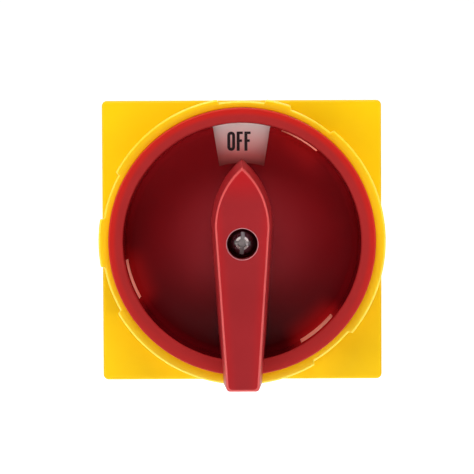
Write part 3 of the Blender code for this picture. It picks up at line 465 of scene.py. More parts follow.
def dish_plastic(name, specular):
    """Glossy dark red with painted shade and light: darker towards the grip's tail, lighter round the grip
    away from its tail, and a painted glow in from the padlock slots.

    The plastic's own two tones are greys here, which shift the height that picks the red.
    """
    material = plastic(name, (0.0, 0.0, 0.0), (0.1, 0.1, 0.1), 0.22, grain=900.0, depth=0.000004,
                       strength=0.1, specular=specular)
    nodes, links = material.node_tree.nodes, material.node_tree.links
    drift = nodes["Principled BSDF"].inputs["Base Color"].links[0].from_socket
    x, z, radius = round_axis(nodes, links, nodes["Texture Coordinate"].outputs["Object"])
    # painted shade: darker towards the grip's tail, lighter towards the window
    height = rise(nodes, links, z, -0.023, 0.023)
    height = calc(nodes, links, "ADD", calc(nodes, links, "MULTIPLY", height, 0.9), drift)
    body = blend(nodes, links, height, (0.085, 0.001, 0.003), (0.315, 0.009, 0.013))
    # painted light round the grip, which fades out towards the tail
    painted_light_near_grip = calc(nodes, links, "SUBTRACT", 0.7,
                     calc(nodes, links, "MULTIPLY", rise(nodes, links, radius, 0.0080, 0.0210), 0.7))
    painted_light_near_grip = calc(nodes, links, "MULTIPLY", painted_light_near_grip, rise(nodes, links, z, -0.018, -0.004))
    body = blend(nodes, links, painted_light_near_grip, body, (0.225, 0.018, 0.023))
    # painted light: a glow in from each padlock slot
    painted_slot_light = 0.0
    for angle, _ in SLOTS:
        along_x, along_z = at_angle(1, angle)
        forward = calc(nodes, links, "ADD", calc(nodes, links, "MULTIPLY", x, along_x),
                       calc(nodes, links, "MULTIPLY", z, along_z))
        cosine = calc(nodes, links, "DIVIDE", forward, radius)
        painted_slot_light = calc(nodes, links, "MAXIMUM", rise(nodes, links, cosine, 0.948, 1.0), painted_slot_light)
    painted_slot_light = calc(nodes, links, "MULTIPLY", painted_slot_light, rise(nodes, links, radius, 0.0205, 0.0270))
    return tinted(material, blend(nodes, links, painted_slot_light, body, (0.38, 0.008, 0.009)))


def label_material():
    """The legend's satin silver, with a painted reflection and shade that darken it to a deep red brown
    towards its inner edge, and a faint painted glow.
    """
    material, nodes, links, shader, coords = new_material("legend_silver")
    _, _, radius = round_axis(nodes, links, coords)
    reach = nodes.new("ShaderNodeMapRange")
    reach.inputs["From Min"].default_value = 0.0165
    reach.inputs["From Max"].default_value = 0.0272
    links.new(radius, reach.inputs["Value"])
    # painted reflection and shade: pale pink at the outer edge, deep red brown at the inner
    links.new(ramp(nodes, links, reach.outputs["Result"],
                   [(0.0, (0.40, 0.025, 0.025)), (0.30, (0.75, 0.17, 0.16)), (0.72, (0.97, 0.62, 0.59)),
                    (1.0, (1.0, 0.86, 0.84))]), shader.inputs["Base Color"])
    # painted glow: the label gives off a little light of its own colour
    links.new(shader.inputs["Base Color"].links[0].from_socket, shader.inputs["Emission Color"])
    shader.inputs["Emission Strength"].default_value = 0.10
    lay = noise(nodes, links, coords, 1500.0, 2.0)
    links.new(spread(nodes, links, lay, 0.38, 0.5), shader.inputs["Roughness"])
    shader.inputs["Metallic"].default_value = 0.1
    add_bump(nodes, links, shader, lay, 0.00001, 0.15, edge=0.00005)
    return material


MATERIALS = {
    "red_satin": rim_plastic(),
    "red_grip": grip_plastic(),
    # painted highlight: a light red for the rounding of the grip's top edge
    "red_edge_highlight": plastic("red_edge_highlight", (0.62, 0.068, 0.064), (0.70, 0.082, 0.076), 0.32, specular=0.5),
    # painted light: a lighter red for the grip's flanks, as if lit from the side
    "red_flank_painted_light": plastic("red_flank_painted_light", (0.42, 0.016, 0.020), (0.48, 0.020, 0.024), 0.42, specular=0.3),
    # the dish's glossy reds carry painted shade and light, made in dish_plastic
    "red_gloss": dish_plastic("red_gloss", 0.06),
    "red_wall": dish_plastic("red_wall", 0.01),
    # painted highlight: a pale red for the screw well's lip
    "red_lip_highlight": plastic("red_lip_highlight", (0.46, 0.19, 0.21), (0.54, 0.24, 0.26), 0.35),
    # painted light: a pale pink for the padlock slots' cut faces, as if lit through the lock ring
    "red_lit": plastic("red_lit", (0.93, 0.38, 0.31), (1.0, 0.46, 0.38), 0.35),
    "yellow_plastic": plastic("yellow_plastic", (0.93, 0.560, 0.002), (0.97, 0.605, 0.003), 0.40,
                              depth=0.00002, strength=0.2, specular=0.14),
    "yellow_ring": plastic("yellow_ring", (0.95, 0.585, 0.003), (0.98, 0.630, 0.004), 0.34,
                           depth=0.00002, strength=0.15, specular=0.3),
    # painted highlight: a pale yellow for the lock ring's rounded outer edge
    "yellow_edge_highlight": plastic("yellow_edge_highlight", (1.0, 0.72, 0.030), (1.0, 0.78, 0.050), 0.28, specular=0.5),
    "silver_label": label_material(),
    "ink": plastic("legend_ink", (0.025, 0.004, 0.008), (0.03, 0.005, 0.010), 0.45),
    "black_rubber": plastic("black_rubber", (0.022, 0.022, 0.022), (0.035, 0.035, 0.034), 0.80, grain=1500.0,
                            depth=0.00004, strength=0.4, specular=0.3),
    "black_plastic": plastic("black_plastic", (0.028, 0.028, 0.031), (0.040, 0.040, 0.044), 0.46,
                             depth=0.00003, strength=0.4),
    "grey_plastic": plastic("grey_plastic", (0.095, 0.100, 0.106), (0.120, 0.125, 0.132), 0.48,
                            depth=0.00003, strength=0.4),
    "white_plastic": plastic("white_plastic", (0.72, 0.70, 0.64), (0.80, 0.78, 0.73), 0.40),
    "zinc_steel": metal("zinc_steel", (0.56, 0.57, 0.56), (0.68, 0.69, 0.67), 0.33),
    # the handle screw's steel in three painted tones: painted shade with a purple painted sheen on the head,
    # painted half light in the slots, a painted highlight on the cone
    "steel_painted_shade_sheen": metal("steel_painted_shade_sheen", (0.190, 0.095, 0.125), (0.250, 0.130, 0.165), 0.30),
    "steel_painted_half_light": metal("steel_painted_half_light", (0.300, 0.265, 0.270), (0.380, 0.340, 0.345), 0.36),
    "steel_painted_highlight": metal("steel_painted_highlight", (0.86, 0.80, 0.80), (0.95, 0.90, 0.89), 0.42),
    "spring_steel": metal("spring_steel", (0.38, 0.38, 0.39), (0.50, 0.50, 0.51), 0.28, (1, 1, 6)),
    "copper": metal("copper", (0.68, 0.34, 0.20), (0.82, 0.46, 0.30), 0.32, (1, 6, 1)),
    "brass": metal("brass", (0.68, 0.50, 0.24), (0.80, 0.62, 0.32), 0.34, (1, 6, 1)),
}


def dress(obj, *names):
    """Gives a new mesh its materials, in the order of its faces' slots."""
    for name in names:
        obj.data.materials.append(MATERIALS[name])


def place(obj, body, slot, *nodes):
    """The finished piece rides on a body and stands for its CAD nodes."""
    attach(obj, body)
    if nodes:
        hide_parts(*nodes)
    return obj


# ---------------------------------------------------------------- handle
def grip_outline(half_width, tail_half_width, tip, end):
    """The grip seen from the front: an ogive nose, straight tapering sides and a square end."""
    shoulder, corner = GRIP_SHOULDER, GRIP_CORNER
    nose = tip - shoulder
    radius = (half_width ** 2 + nose ** 2) / (2 * half_width)
    sweep = math.asin(nose / radius)
    steps = 30
    right = []
    for i in range(steps + 1):
        a = sweep * (1 - i / steps)
        right.append((half_width - radius + radius * math.cos(a), shoulder + radius * math.sin(a)))
    right[0] = (0.0, tip)
    for i in range(1, 13):
        share = i / 13
        right.append((half_width + (tail_half_width - half_width) * share,
                      shoulder + (end + corner - shoulder) * share))
    for i in range(5):
        a = math.pi / 2 * i / 4
        right.append((tail_half_width - corner * (1 - math.cos(a)), end + corner * (1 - math.sin(a))))
    return right + [(-x, z) for x, z in reversed(right[1:])]


def grip_section(y, inset=0.0):
    """The grip's outline at a depth: it narrows by its moulding draft from the dish to the top."""
    share = (y - CENTRE) / (GRIP_TOP - CENTRE)
    half_width, tail_half_width, tip = (foot + (top - foot) * share for foot, top in
                                        (GRIP_HALF_WIDTH, GRIP_TAIL_HALF_WIDTH, GRIP_TIP))
    end = GRIP_END - 0.0004 * (1 - share)
    return grip_outline(half_width - inset, tail_half_width - inset, tip - 1.6 * inset, end + inset)


def dish_back(radius):
    """y of the back of the dish's sloping floor."""
    return DISH_BACK + (CENTRE - FOOT) * (1 - radius / FOOT_RADIUS)


def make_dish():
    """The red dish, rim and hub, turned from (radius, y, material slot) points."""
    channel = RIM_TOP + RIM_THICKNESS
    profile = [(0, HANDLE_HIGH.y, SATIN), (HUB_RADIUS, HANDLE_HIGH.y, SATIN),
               (HUB_RADIUS, dish_back(HUB_RADIUS), SATIN), (FOOT_RADIUS, DISH_BACK, SATIN),
               (WALL_OUTER, DISH_BACK, SATIN), (WALL_OUTER, channel, SATIN), (SKIRT_INNER, channel, SATIN),
               (SKIRT_INNER, SKIRT_END, SATIN), (RIM_OUTER, SKIRT_END, SATIN)]
    edge = round_edge(RIM_EDGE, RIM_TOP + RIM_EDGE, RIM_TOP)
    profile += [(RIM_OUTER - inset, y, SATIN) for inset, y in edge]
    profile += [(RIM_INNER + inset, y, SATIN) for inset, y in reversed(edge)]
    profile[-1] = (*profile[-1][:2], DISH_WALL)
    wall_top, fillet_top = RIM_TOP + RIM_EDGE, FOOT - FILLET
    for i in range(1, 5):
        share = i / 5
        profile.append((RIM_INNER + (FOOT_RADIUS - RIM_INNER) * share,
                        wall_top + (fillet_top - RIM_TOP - RIM_EDGE) * share, DISH_WALL))
    for i in range(9):
        a = math.pi / 2 * i / 8
        profile.append((FOOT_RADIUS - FILLET * (1 - math.cos(a)), FOOT - FILLET * (1 - math.sin(a)),
                        DISH_WALL if i < 8 else GLOSS))
    floor = FOOT_RADIUS - FILLET
    for i in range(1, 9):
        radius = floor * (1 - i / 8)
        profile.append((radius, FOOT + (CENTRE - FOOT) * (1 - radius / floor), GLOSS))
    return lathe("handle_moulding", [(r, y) for r, y, _ in profile], steps=192, closed=False,
                 slots=[slot for _, _, slot in profile])


def window_cutter():
    """The legend's window: arcs above and below, straight sides between them."""
    (low_x, low_z), (high_x, high_z) = WINDOW_LOW, WINDOW_HIGH
    high = math.degrees(math.atan2(high_x, high_z))
    low = math.degrees(math.atan2(low_x, low_z))
    top = [at_angle(WINDOW_OUTER, high * (1 - i / 12)) for i in range(25)]
    bottom = [at_angle(math.hypot(low_x, low_z), low * (i / 8 - 1)) for i in range(17)]
    return prism("window", top + bottom, RIM_TOP + 0.0020, DISH_BACK + 0.001, GLOSS)


def make_grip():
    """The solid grip with a rounded top edge, clear of the rim that it crosses."""
    sections = [(y, grip_section(y)) for y in (CENTRE + 0.0006, GRIP_TOP + 0.012, GRIP_TOP + 0.004)]
    for inset, y in round_edge(GRIP_EDGE, GRIP_TOP + GRIP_EDGE, GRIP_TOP):
        sections.append((y, grip_section(y, inset)))
    grip = loft("grip", sections, slot=GRIP_FACE)
    rounding_end = GRIP_TOP + 0.6 * GRIP_EDGE
    # The rounding's faces get a painted highlight, and the faces below them a lighter red that is painted
    # light.
    for face in grip.data.polygons:
        if GRIP_TOP + 1e-6 < face.center.y < rounding_end:
            face.material_index = GRIP_ROUNDING
        elif face.center.y >= rounding_end:
            face.material_index = GRIP_FLANK
    dress(grip, *HANDLE_LOOKS)
    clear = RIM_INNER + 0.0004
    under = [(clear, GRIP_UNDERSIDE), (0.05, GRIP_UNDERSIDE), (0.05, 0), (clear, 0)]
    return carve(grip, [lathe("under", under, steps=128)])


def grip_hollow():
    """The space inside the grip, which leaves the hub and the tail's end solid."""
    front, back = GRIP_TOP + GRIP_WALL, DISH_BACK + 0.001
    sections = [(back, grip_section(CENTRE, GRIP_WALL)), (front, grip_section(front, GRIP_WALL))]
    hollow = loft("hollow", sections)
    return carve(hollow, [shaft_rod("hub", GRIP_TOP, 0, HUB_RADIUS, count=96),
                          box("hollow_end", (-0.02, GRIP_TOP, -0.05), (0.02, 0, GRIP_WALL - FOOT_RADIUS))])


def screw_well():
    """The round well for the handle's screw, with a lip in a pale red that is a painted highlight."""
    past = 0.001
    profile = [(0, GRIP_TOP - past), (SCREW_WELL_RADIUS + SCREW_WELL_LIP + past, GRIP_TOP - past),
               (SCREW_WELL_RADIUS, GRIP_TOP + SCREW_WELL_LIP), (SCREW_WELL_RADIUS, SCREW_SEAT),
               (0, SCREW_SEAT)]
    well = lathe("well", profile, steps=96, closed=False, slots=[SATIN, WELL_RIM, SATIN, SATIN])
    dress(well, *HANDLE_LOOKS)
    return well


def make_handle():
    """The handle's moulding. Pieces get all its materials before they are cut, which keeps their slots."""
    handle = make_dish()
    cutters = [window_cutter()]
    # The slots' cut faces get a pale pink that is painted light.
    for angle, inner in SLOTS:
        cutters.append(ring_sector(f"slot_{angle}", angle, inner, RIM_OUTER + 0.001, SLOT_FRONT, FOOT,
                                   SLOT_LIT))
    for piece in [handle, *cutters]:
        dress(piece, *HANDLE_LOOKS)
    carve(handle, cutters)
    carve(handle, [make_grip()], "UNION")
    half = SHAFT_HALF + GAP
    carve(handle, [grip_hollow(), screw_well(),
                   shaft_rod("clear", SCREW_SEAT - 0.001, SOCKET_FLOOR + 0.001, HANDLE_SCREW_RADIUS + GAP),
                   box("socket", (-half, SOCKET_FLOOR, -half), (half, 0, half))])
    smooth(handle)
    return place(handle, "rotor", "red_plastic", "handle")


# ---------------------------------------------------------------- lock ring and plate
def ring_radius(degrees):
    """The lock ring's outer radius at an angle: recesses with short ramps at their ends."""
    half = math.degrees(math.asin(RING_RECESS_WIDTH / 2 / RING_OUTER))
    ramp_angle = 0.7
    radius = RING_OUTER
    for centre in RING_RECESSES:
        off = abs((degrees - centre + 180) % 360 - 180)
        share = min(max((half + ramp_angle / 2 - off) / ramp_angle, 0.0), 1.0)
        share = share * share * (3 - 2 * share)
        radius = min(radius, RING_OUTER + (RING_RECESS_RADIUS - RING_OUTER) * share)
    return radius


def ring_moulding():
    """The ring's body, turned section by section because its outer radius varies; slot 1 is its rounded
    edge, which takes a painted highlight.
    """
    steps = 1080
    edge = round_edge(RING_EDGE, RING_TOP + RING_EDGE, RING_TOP)
    inner_edge = round_edge(0.0002, RING_TOP + 0.0002, RING_TOP, 2)
    shape = bmesh.new()
    rows = []
    for i in range(steps):
        degrees = 360 * i / steps
        outer = ring_radius(degrees)
        points = [(outer, RING_FOOT)] + [(outer - inset, y) for inset, y in edge]
        points += [(RING_INNER + inset, y) for inset, y in reversed(inner_edge)] + [(RING_INNER, RING_FOOT)]
        row = []
        for radius, y in points:
            x, z = at_angle(radius, degrees)
            row.append(shape.verts.new((x, y, z)))
        rows.append(row)
    for near, far in zip(rows, rows[1:] + rows[:1]):
        for k in range(len(near)):
            m = (k + 1) % len(near)
            face = shape.faces.new((near[k], near[m], far[m], far[k]))
            face.material_index = 1 if 0 < k < len(edge) else 0
    return finish_mesh("lock_ring_moulding", shape)


def make_lock_ring():
    """The ring with its padlock windows, and the pegs that are staked behind the plate."""
    ring = ring_moulding()
    dress(ring, "yellow_ring", "yellow_edge_highlight")
    carve(ring, [radial_box(f"padlock_{a}", a, RING_INNER - 0.003, RING_OUTER + 0.002, PADLOCK_WINDOW_WIDTH,
                            PADLOCK_WINDOW_FRONT, PADLOCK_WINDOW_BACK) for a in PADLOCK_ANGLES])
    stake = PLATE_FRONT + PLATE_SKIN + GAP
    pegs = []
    for angle in PEG_ANGLES:
        x, z = at_angle(PEG_CIRCLE, angle)
        pegs.append(shaft_rod(f"peg_{angle}", RING_FOOT - 0.0005, stake + 0.0003, PEG_RADIUS, x, z, 24))
        pegs.append(shaft_rod(f"stake_{angle}", stake, stake + 0.0007, PEG_HEAD_RADIUS, x, z, 24))
    carve(ring, pegs, "UNION")
    smooth(ring)
    return place(ring, "base", "yellow_plastic", "lock_ring")


def mount_places():
    """The (x, z) places of the four mounting screws."""
    p = MOUNT_PITCH
    return ((p, p), (p, -p), (-p, -p), (-p, p))


def plate_shell():
    """The square plate with a rounded front edge, hollow behind."""
    edge = 0.0006
    sections = []
    for inset, y in reversed(round_edge(edge, PLATE_FRONT + edge, PLATE_FRONT)):
        sections.append((y, rounded_square(PLATE_HALF, PLATE_CORNER, inset)))
    sections.append((PLATE_BACK, rounded_square(PLATE_HALF, PLATE_CORNER)))
    plate = loft("front_plate_moulding", sections)
    inside = rounded_square(PLATE_HALF - PLATE_WALL, 0.0008)
    return carve(plate, [prism("hollow", inside, PLATE_FRONT + PLATE_SKIN, 0.001)])


def plate_bosses():
    """What stands in the plate's hollow: the well's floor, a bearing, four bosses and two ribs."""
    reach, rib = PLATE_HALF - PLATE_WALL + 0.0005, 0.0006
    front, back = WELL_BACK - 0.0004, BOSS_END - 0.0006
    boss_radius = MOUNT_HEAD_RADIUS + 0.0016
    pieces = [shaft_rod("floor", PLATE_FRONT + 0.0012, WELL_BACK, WELL_RADIUS + 0.0014, count=128),
              shaft_rod("bearing", WELL_BACK - 0.0005, BOSS_END, HUB_RADIUS + 0.0040)]
    for i, (x, z) in enumerate(mount_places()):
        pieces.append(shaft_rod(f"boss_{i}", WELL_BACK - 0.0005, BOSS_END, boss_radius, x, z, 32))
    return pieces + [box("rib_across", (-reach, front, -rib), (reach, back, rib)),
                     box("rib_up", (-rib, front, -reach), (rib, back, reach))]


def plate_openings():
    """Cutters for the well, the bore and its seal's seat, the screw holes and the peg holes."""
    before, peg_radius = PLATE_FRONT - 0.001, PEG_RADIUS + GAP
    cutters = [shaft_rod("well", before, WELL_FACE, WELL_RADIUS, count=160),
               shaft_rod("bore", before, 0.001, HUB_RADIUS + GAP),
               shaft_rod("seal_seat", SEAL_SEAT, 0.001, HUB_RADIUS + 0.0027)]
    for i, (x, z) in enumerate(mount_places()):
        cutters.append(shaft_rod(f"hole_{i}", before, 0.001, MOUNT_SCREW_RADIUS + 0.00035, x, z, 32))
        cutters.append(shaft_rod(f"sink_{i}", before, MOUNT_SEAT, MOUNT_HEAD_RADIUS + 0.0005, x, z, 32))
    for angle in PEG_ANGLES:
        x, z = at_angle(PEG_CIRCLE, angle)
        cutters.append(shaft_rod(f"peg_hole_{angle}", before, PLATE_FRONT + 0.003, peg_radius, x, z, 24))
    return cutters


def make_front_plate():
    plate = plate_shell()
    carve(plate, plate_bosses(), "UNION")
    carve(plate, plate_openings())
    dress(plate, "yellow_plastic")
    smooth(plate)
    return place(plate, "base", "yellow_plastic", "front_plate")


# ---------------------------------------------------------------- legend
def make_legend():
    """The legend's disc, chamfered in front, with holes to reach the mounting screws."""
    front, back = LEGEND_LOW.y, LEGEND_HIGH.y
    chamfer_end = front + LEGEND_CHAMFER
    profile = [(LEGEND_RADIUS, back), (LEGEND_RADIUS, chamfer_end), (LEGEND_RADIUS - LEGEND_CHAMFER, front),
               (LEGEND_BORE + LEGEND_CHAMFER, front), (LEGEND_BORE, chamfer_end), (LEGEND_BORE, back)]
    legend = lathe("legend_disc", profile, steps=160)
    access = MOUNT_HEAD_RADIUS + 0.0006
    carve(legend, [shaft_rod(f"access_{i}", front - 0.001, back + 0.001, access, x, z, 48)
                   for i, (x, z) in enumerate(mount_places())])
    dress(legend, "silver_label")
    smooth(legend)
    return place(legend, "base", "silver_label", "legend_plate")


def letter_o(width, height, stroke):
    """Outer and inner outlines of a narrow O with round ends, about its middle."""
    outlines = []
    for inset in (0.0, stroke):
        radius = width / 2 - inset
        straight = height / 2 - inset - radius
        points = (at_angle(radius, 360 * (i + 0.5) / 48) for i in range(48))
        outlines.append([(x, z + math.copysign(straight, z)) for x, z in points])
    return outlines


def letter_mesh(shape, letter, x, z, y_front, y_back):
    """Adds one condensed capital to a bmesh, its lower left corner at (x, z)."""
    width, height, stroke = LETTER_WIDTHS[letter], LETTER_HEIGHT, LETTER_STROKE

    def slab(points):
        lower = [shape.verts.new((x + px, y_back, z + pz)) for px, pz in points]
        upper = [shape.verts.new((x + px, y_front, z + pz)) for px, pz in points]
        count = len(points)
        for i in range(count):
            j = (i + 1) % count
            shape.faces.new((lower[i], lower[j], upper[j], upper[i]))
        shape.faces.new(lower)
        shape.faces.new(upper)

    def centred(outline, y):
        return [shape.verts.new((x + width / 2 + px, y, z + height / 2 + pz)) for px, pz in outline]

    if letter == "O":
        outer, inner = letter_o(width, height, stroke)
        rows = [centred(outer, y_back), centred(outer, y_front), centred(inner, y_front),
                centred(inner, y_back)]
        for near, far in zip(rows, rows[1:] + rows[:1]):
            for i in range(len(near)):
                j = (i + 1) % len(near)
                shape.faces.new((near[i], near[j], far[j], far[i]))
        return
    if letter == "F":
        mid, bar, arm = height * 0.46, stroke * 0.85, width * 0.86
        slab([(0, 0), (stroke, 0), (stroke, mid), (arm, mid), (arm, mid + bar), (stroke, mid + bar),
              (stroke, height - bar), (width, height - bar), (width, height), (0, height)])
    if letter == "N":
        slab([(0, 0), (stroke, 0), (stroke, height * 0.62), (width - stroke, 0), (width, 0), (width, height),
              (width - stroke, height), (width - stroke, height * 0.38), (stroke, height), (0, height)])


def make_word(name, word, turn):
    """A printed word at the top of the legend, turned round the axis by an angle."""
    total = sum(LETTER_WIDTHS[c] for c in word) + LETTER_SPACE * (len(word) - 1)
    x = -total / 2 + (OFF_SHIFT if turn == 0 else 0.0)
    shape = bmesh.new()
    front = LEGEND_LOW.y
    for c in word:
        letter_mesh(shape, c, x, LETTER_BASE + LETTER_LIFT, front - LETTER_THICKNESS, front - LETTER_PROUD)
        x += LETTER_WIDTHS[c] + LETTER_SPACE
    obj = finish_mesh(name, shape)
    if turn:
        middle = Matrix.Translation((0, 0, LETTER_BASE + LETTER_HEIGHT / 2))
        upright = middle @ Matrix.Rotation(math.radians(-turn), 4, "Y") @ middle.inverted()
        obj.data.transform(Matrix.Rotation(math.radians(turn), 4, "Y") @ upright)
    dress(obj, "ink")
    return place(obj, "base", "silver_label")


# ---------------------------------------------------------------- fasteners
def screw_profile(length, head_radius, head_height, shank_radius, dome):
    """(radius, y) points of a threaded shank below y = 0 and a pan head above it."""
    root, start = shank_radius * 0.86, -length + shank_radius * 0.4
    profile = [(0.0, -length), (shank_radius * 0.55, -length), (root, start)]
    pitch = shank_radius * 0.36
    turns = int((length - head_height * 0.4 - shank_radius * 0.4) / pitch)
    for i in range(turns):
        base = start + i * pitch
        profile += [(root, base + pitch * 0.1), (shank_radius, base + pitch * 0.5),
                    (root, base + pitch * 0.9)]
    chamfer = 0.00008
    profile += [(shank_radius * 0.9, 0.0), (head_radius - chamfer, 0.0), (head_radius, chamfer),
                (head_radius, head_height * (1 - dome))]
    for i in range(1, 9):
        a = math.pi / 2 * i / 8
        profile.append((head_radius * math.cos(a) if i < 8 else 0.0,
                        head_height * (1 - dome + dome * math.sin(a) ** 1.2)))
    return profile


def recess_bar(name, along, across, head_height, sink, slot=0):
    """A cutter for one bar of a driver recess, sunk from the head's top."""
    outline = [(-along, -across), (along, -across), (along, across), (-along, across)]
    return prism(name, outline, head_height - sink, head_height + 0.001, slot)


def cross_recess(name, head_radius, head_height):
    half, reach, sink = head_radius * 0.14, head_radius * 0.62, head_height * 0.55
    return [recess_bar(f"{name}_upright", half, reach, head_height, sink),
            recess_bar(f"{name}_across", reach, half, head_height, sink)]


def slotted_cross_recess(name, head_radius, head_height):
    """A long slot, a short slot across it and a square socket, all in the mouth of a shallow cone; the
    cone's walls take a painted highlight and the slots a painted half light.
    """
    painted_half_light, painted_highlight = 1, 2
    depth, half, top = head_height * 0.55, 0.00045, head_height + 0.001
    cone = [(0.0, head_height - 0.00032), (0.0010, head_height - 0.00032), (0.0016, head_height - 0.00008),
            (0.0016, top), (0.0, top)]
    return [lathe(f"{name}_cone", cone, steps=40, closed=False, slots=[0] + [painted_highlight] * len(cone)),
            recess_bar(f"{name}_long", half, head_radius * 0.88, head_height, depth * 0.6, painted_half_light),
            recess_bar(f"{name}_short", head_radius * 0.64, half, head_height, depth * 0.8, painted_half_light),
            prism(f"{name}_socket", square(0.00075), head_height - depth * 1.1, top, painted_half_light)]


def make_screw(node, body, direction, head_height, shank_radius, slotted=False):
    """A detailed pan-head screw in the place of a CAD screw, sized from that node's box."""
    low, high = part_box(node)
    direction = Vector(direction)
    axis = max(range(3), key=lambda i: abs(direction[i]))
    face = (low + high) / 2
    face[axis] = high[axis] if direction[axis] > 0 else low[axis]
    other = (axis + 1) % 3
    head_radius = (high[other] - low[other]) / 2
    length = high[axis] - low[axis] - head_height
    name = f"{node}_turned"
    profile = screw_profile(length, head_radius, head_height, shank_radius, 0.30 if slotted else 0.55)
    screw = lathe(name, profile, steps=40, closed=False)
    recess = slotted_cross_recess if slotted else cross_recess
    cutters = recess(name, head_radius, head_height)
    for piece in [screw, *cutters]:
        # The slotted screw's steels are painted shade and sheen, painted half light and a painted highlight.
        dress(piece, *(("steel_painted_shade_sheen", "steel_painted_half_light", "steel_painted_highlight") if slotted else ("zinc_steel",)))
    carve(screw, cutters)
    if direction.y < 0:
        turn = Matrix.Rotation(math.radians(4), 4, "Y") @ Matrix.Rotation(math.pi, 4, "X")
    else:
        turn = Vector((0, 1, 0)).rotation_difference(direction).to_matrix().to_4x4()
    screw.data.transform(Matrix.Translation(face - direction * head_height) @ turn)
    smooth(screw, 40)
    slot = next(s["material_slot"] for s in frame["record"]["subparts"] if s["node"] == node)
    return place(screw, body, slot, node)


def make_screws():
    make_screw("handle_screw", "rotor", (0, -1, 0), 0.0020, HANDLE_SCREW_RADIUS, slotted=True)
    for i in range(1, 5):
        make_screw(f"mounting_screw_{i}", "base", (0, -1, 0), 0.0020, MOUNT_SCREW_RADIUS)
    for end in ("top", "bottom"):
        make_screw(f"through_bolt_{end}", "base", (0, 1, 0), 0.0024, 0.0016)
    for pole, side in ((1, 1), (2, -1), (3, 1)):
        for way in ("line", "load"):
            make_screw(f"pole_{pole}_{way}_screw", "base", (side, 0, 0), 0.0022, 0.00175)


# ---------------------------------------------------------------- carried-over CAD nodes
def dress_cad_nodes():
    slots = {s["node"]: s["material_slot"] for s in frame["record"]["subparts"]}
    for name, obj in frame["nodes"].items():
        slot = slots[name]
        name = "red_satin" if slot == "red_plastic" else slot
        obj.data.materials.clear()
        obj.data.materials.append(MATERIALS[name])


# ---------------------------------------------------------------- studio
def look_at(obj, target):
    obj.rotation_euler = (Vector(target) - obj.location).to_track_quat("-Z", "Y").to_euler()


def area_light(name, place, target, width, height, power, colour=(1, 1, 1)):
    data = bpy.data.lights.new(name, "AREA")
    data.shape = "RECTANGLE"
    data.size, data.size_y = width, height
    data.energy = power
    data.color = colour
    obj = bpy.data.objects.new(name, data)
    bpy.context.scene.collection.objects.link(obj)
    obj.location = place
    look_at(obj, target)
    return obj


def snoot_light(name, place, target, half_angle, power):
    """A spot with a hard narrow beam, which reaches down the grip's well to the screw."""
    data = bpy.data.lights.new(name, "SPOT")
    data.spot_size = math.radians(2 * half_angle)
    data.spot_blend = 0.3
    data.shadow_soft_size = 0.01
    data.energy = power
    obj = bpy.data.objects.new(name, data)
    bpy.context.scene.collection.objects.link(obj)
    obj.location = place
    look_at(obj, target)
    return obj


def make_floor():
    """A pale floor well below the switch that curves up into a backdrop."""
    level, bend_start, bend = -0.16, 0.7, 0.5
    profile = [(-1.2, level), (bend_start, level)]
    for i in range(1, 13):
        a = math.pi / 2 * i / 12
        profile.append((bend_start + bend * math.sin(a), level + bend * (1 - math.cos(a))))
    profile.append((bend_start + bend, 1.6))
    shape = bmesh.new()
    rows = [[shape.verts.new((x, y, z)) for x in (-2.0, 2.0)] for y, z in profile]
    for near, far in zip(rows, rows[1:]):
        shape.faces.new((near[0], near[1], far[1], far[0]))
    mesh = bpy.data.meshes.new("studio_floor")
    shape.to_mesh(mesh)
    shape.free()
    floor = new_object("studio_floor", mesh)
    floor.data.shade_smooth()
    material, nodes, links, shader, coords = new_material("studio_white")
    tone = noise(nodes, links, coords, 3.0)
    links.new(ramp(nodes, links, tone, [(0.3, (0.90, 0.90, 0.90)), (0.7, (0.92, 0.92, 0.92))]),
              shader.inputs["Base Color"])
    shader.inputs["Roughness"].default_value = 0.9
    shader.inputs["Specular IOR Level"].default_value = 0.1
    shader.inputs["Emission Color"].default_value = (1, 1, 1, 1)
    shader.inputs["Emission Strength"].default_value = 0.55
    floor.data.materials.append(material)


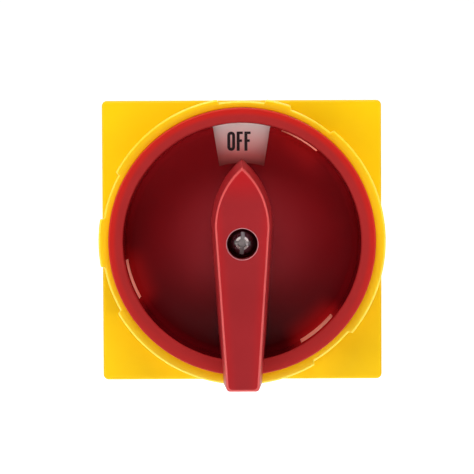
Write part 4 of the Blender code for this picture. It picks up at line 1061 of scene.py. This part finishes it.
def make_lights():
    """One soft key above, weaker fills round it, and four narrow lights down the screw's well."""
    target = (0, -0.015, 0)
    area_light("key_above", (-0.06, -0.36, 0.58), target, 0.50, 0.30, 3.6)
    area_light("right_side", (0.60, -0.40, 0.12), target, 0.20, 0.5, 1.0)
    area_light("left_side", (-0.60, -0.40, 0.08), target, 0.20, 0.5, 1.0)
    area_light("low_fill", (0.0, -0.40, -0.50), target, 0.50, 0.2, 0.15)
    area_light("behind", (0.2, 0.75, 0.6), (0, 0.03, 0), 0.6, 0.5, 3.0)
    snoots = (("well_upper_left", -0.045, 0.045, 0.5), ("well_upper_right", 0.045, 0.045, 0.7),
              ("well_lower_left", -0.045, -0.040, 0.5), ("well_lower_right", 0.045, -0.040, 0.7))
    for name, x, z, power in snoots:
        snoot_light(name, (x, -0.42, z), (0, SCREW_SEAT, 0), 0.28, power)


def make_world():
    """A dim white surround that the camera itself sees as plain white."""
    world = bpy.data.worlds.new("studio")
    world.use_nodes = True
    nodes, links = world.node_tree.nodes, world.node_tree.links
    rays = nodes.new("ShaderNodeLightPath")
    seen = calc(nodes, links, "MULTIPLY", rays.outputs["Is Camera Ray"], 0.90)
    strength = calc(nodes, links, "ADD", seen, 0.10)
    nodes["Background"].inputs["Color"].default_value = (1, 1, 1, 1)
    links.new(strength, nodes["Background"].inputs["Strength"])
    bpy.context.scene.world = world
    bpy.context.scene.view_settings.view_transform = "Standard"
    bpy.context.scene.view_settings.look = "None"


def make_camera():
    """Almost square on, 470 mm from the plate's face and looking down by 2 degrees."""
    data = bpy.data.cameras.new("camera")
    data.sensor_width = 36.0
    data.lens = 155.65
    data.clip_start = 0.01
    camera = bpy.data.objects.new("camera", data)
    bpy.context.scene.collection.objects.link(camera)
    camera.location = (-0.00115, -0.47754, 0.01750)
    tilt = Matrix.Rotation(math.radians(90 - 2.05), 4, "X") @ Matrix.Rotation(math.radians(-0.27), 4, "Z")
    camera.rotation_euler = tilt.to_euler()
    bpy.context.scene.camera = camera


def main():
    dress_cad_nodes()
    make_handle()
    make_lock_ring()
    make_front_plate()
    make_legend()
    make_word("legend_off", "OFF", 0)
    make_word("legend_on", "ON", 90)
    make_screws()
    make_floor()
    make_lights()
    make_world()
    make_camera()


main()
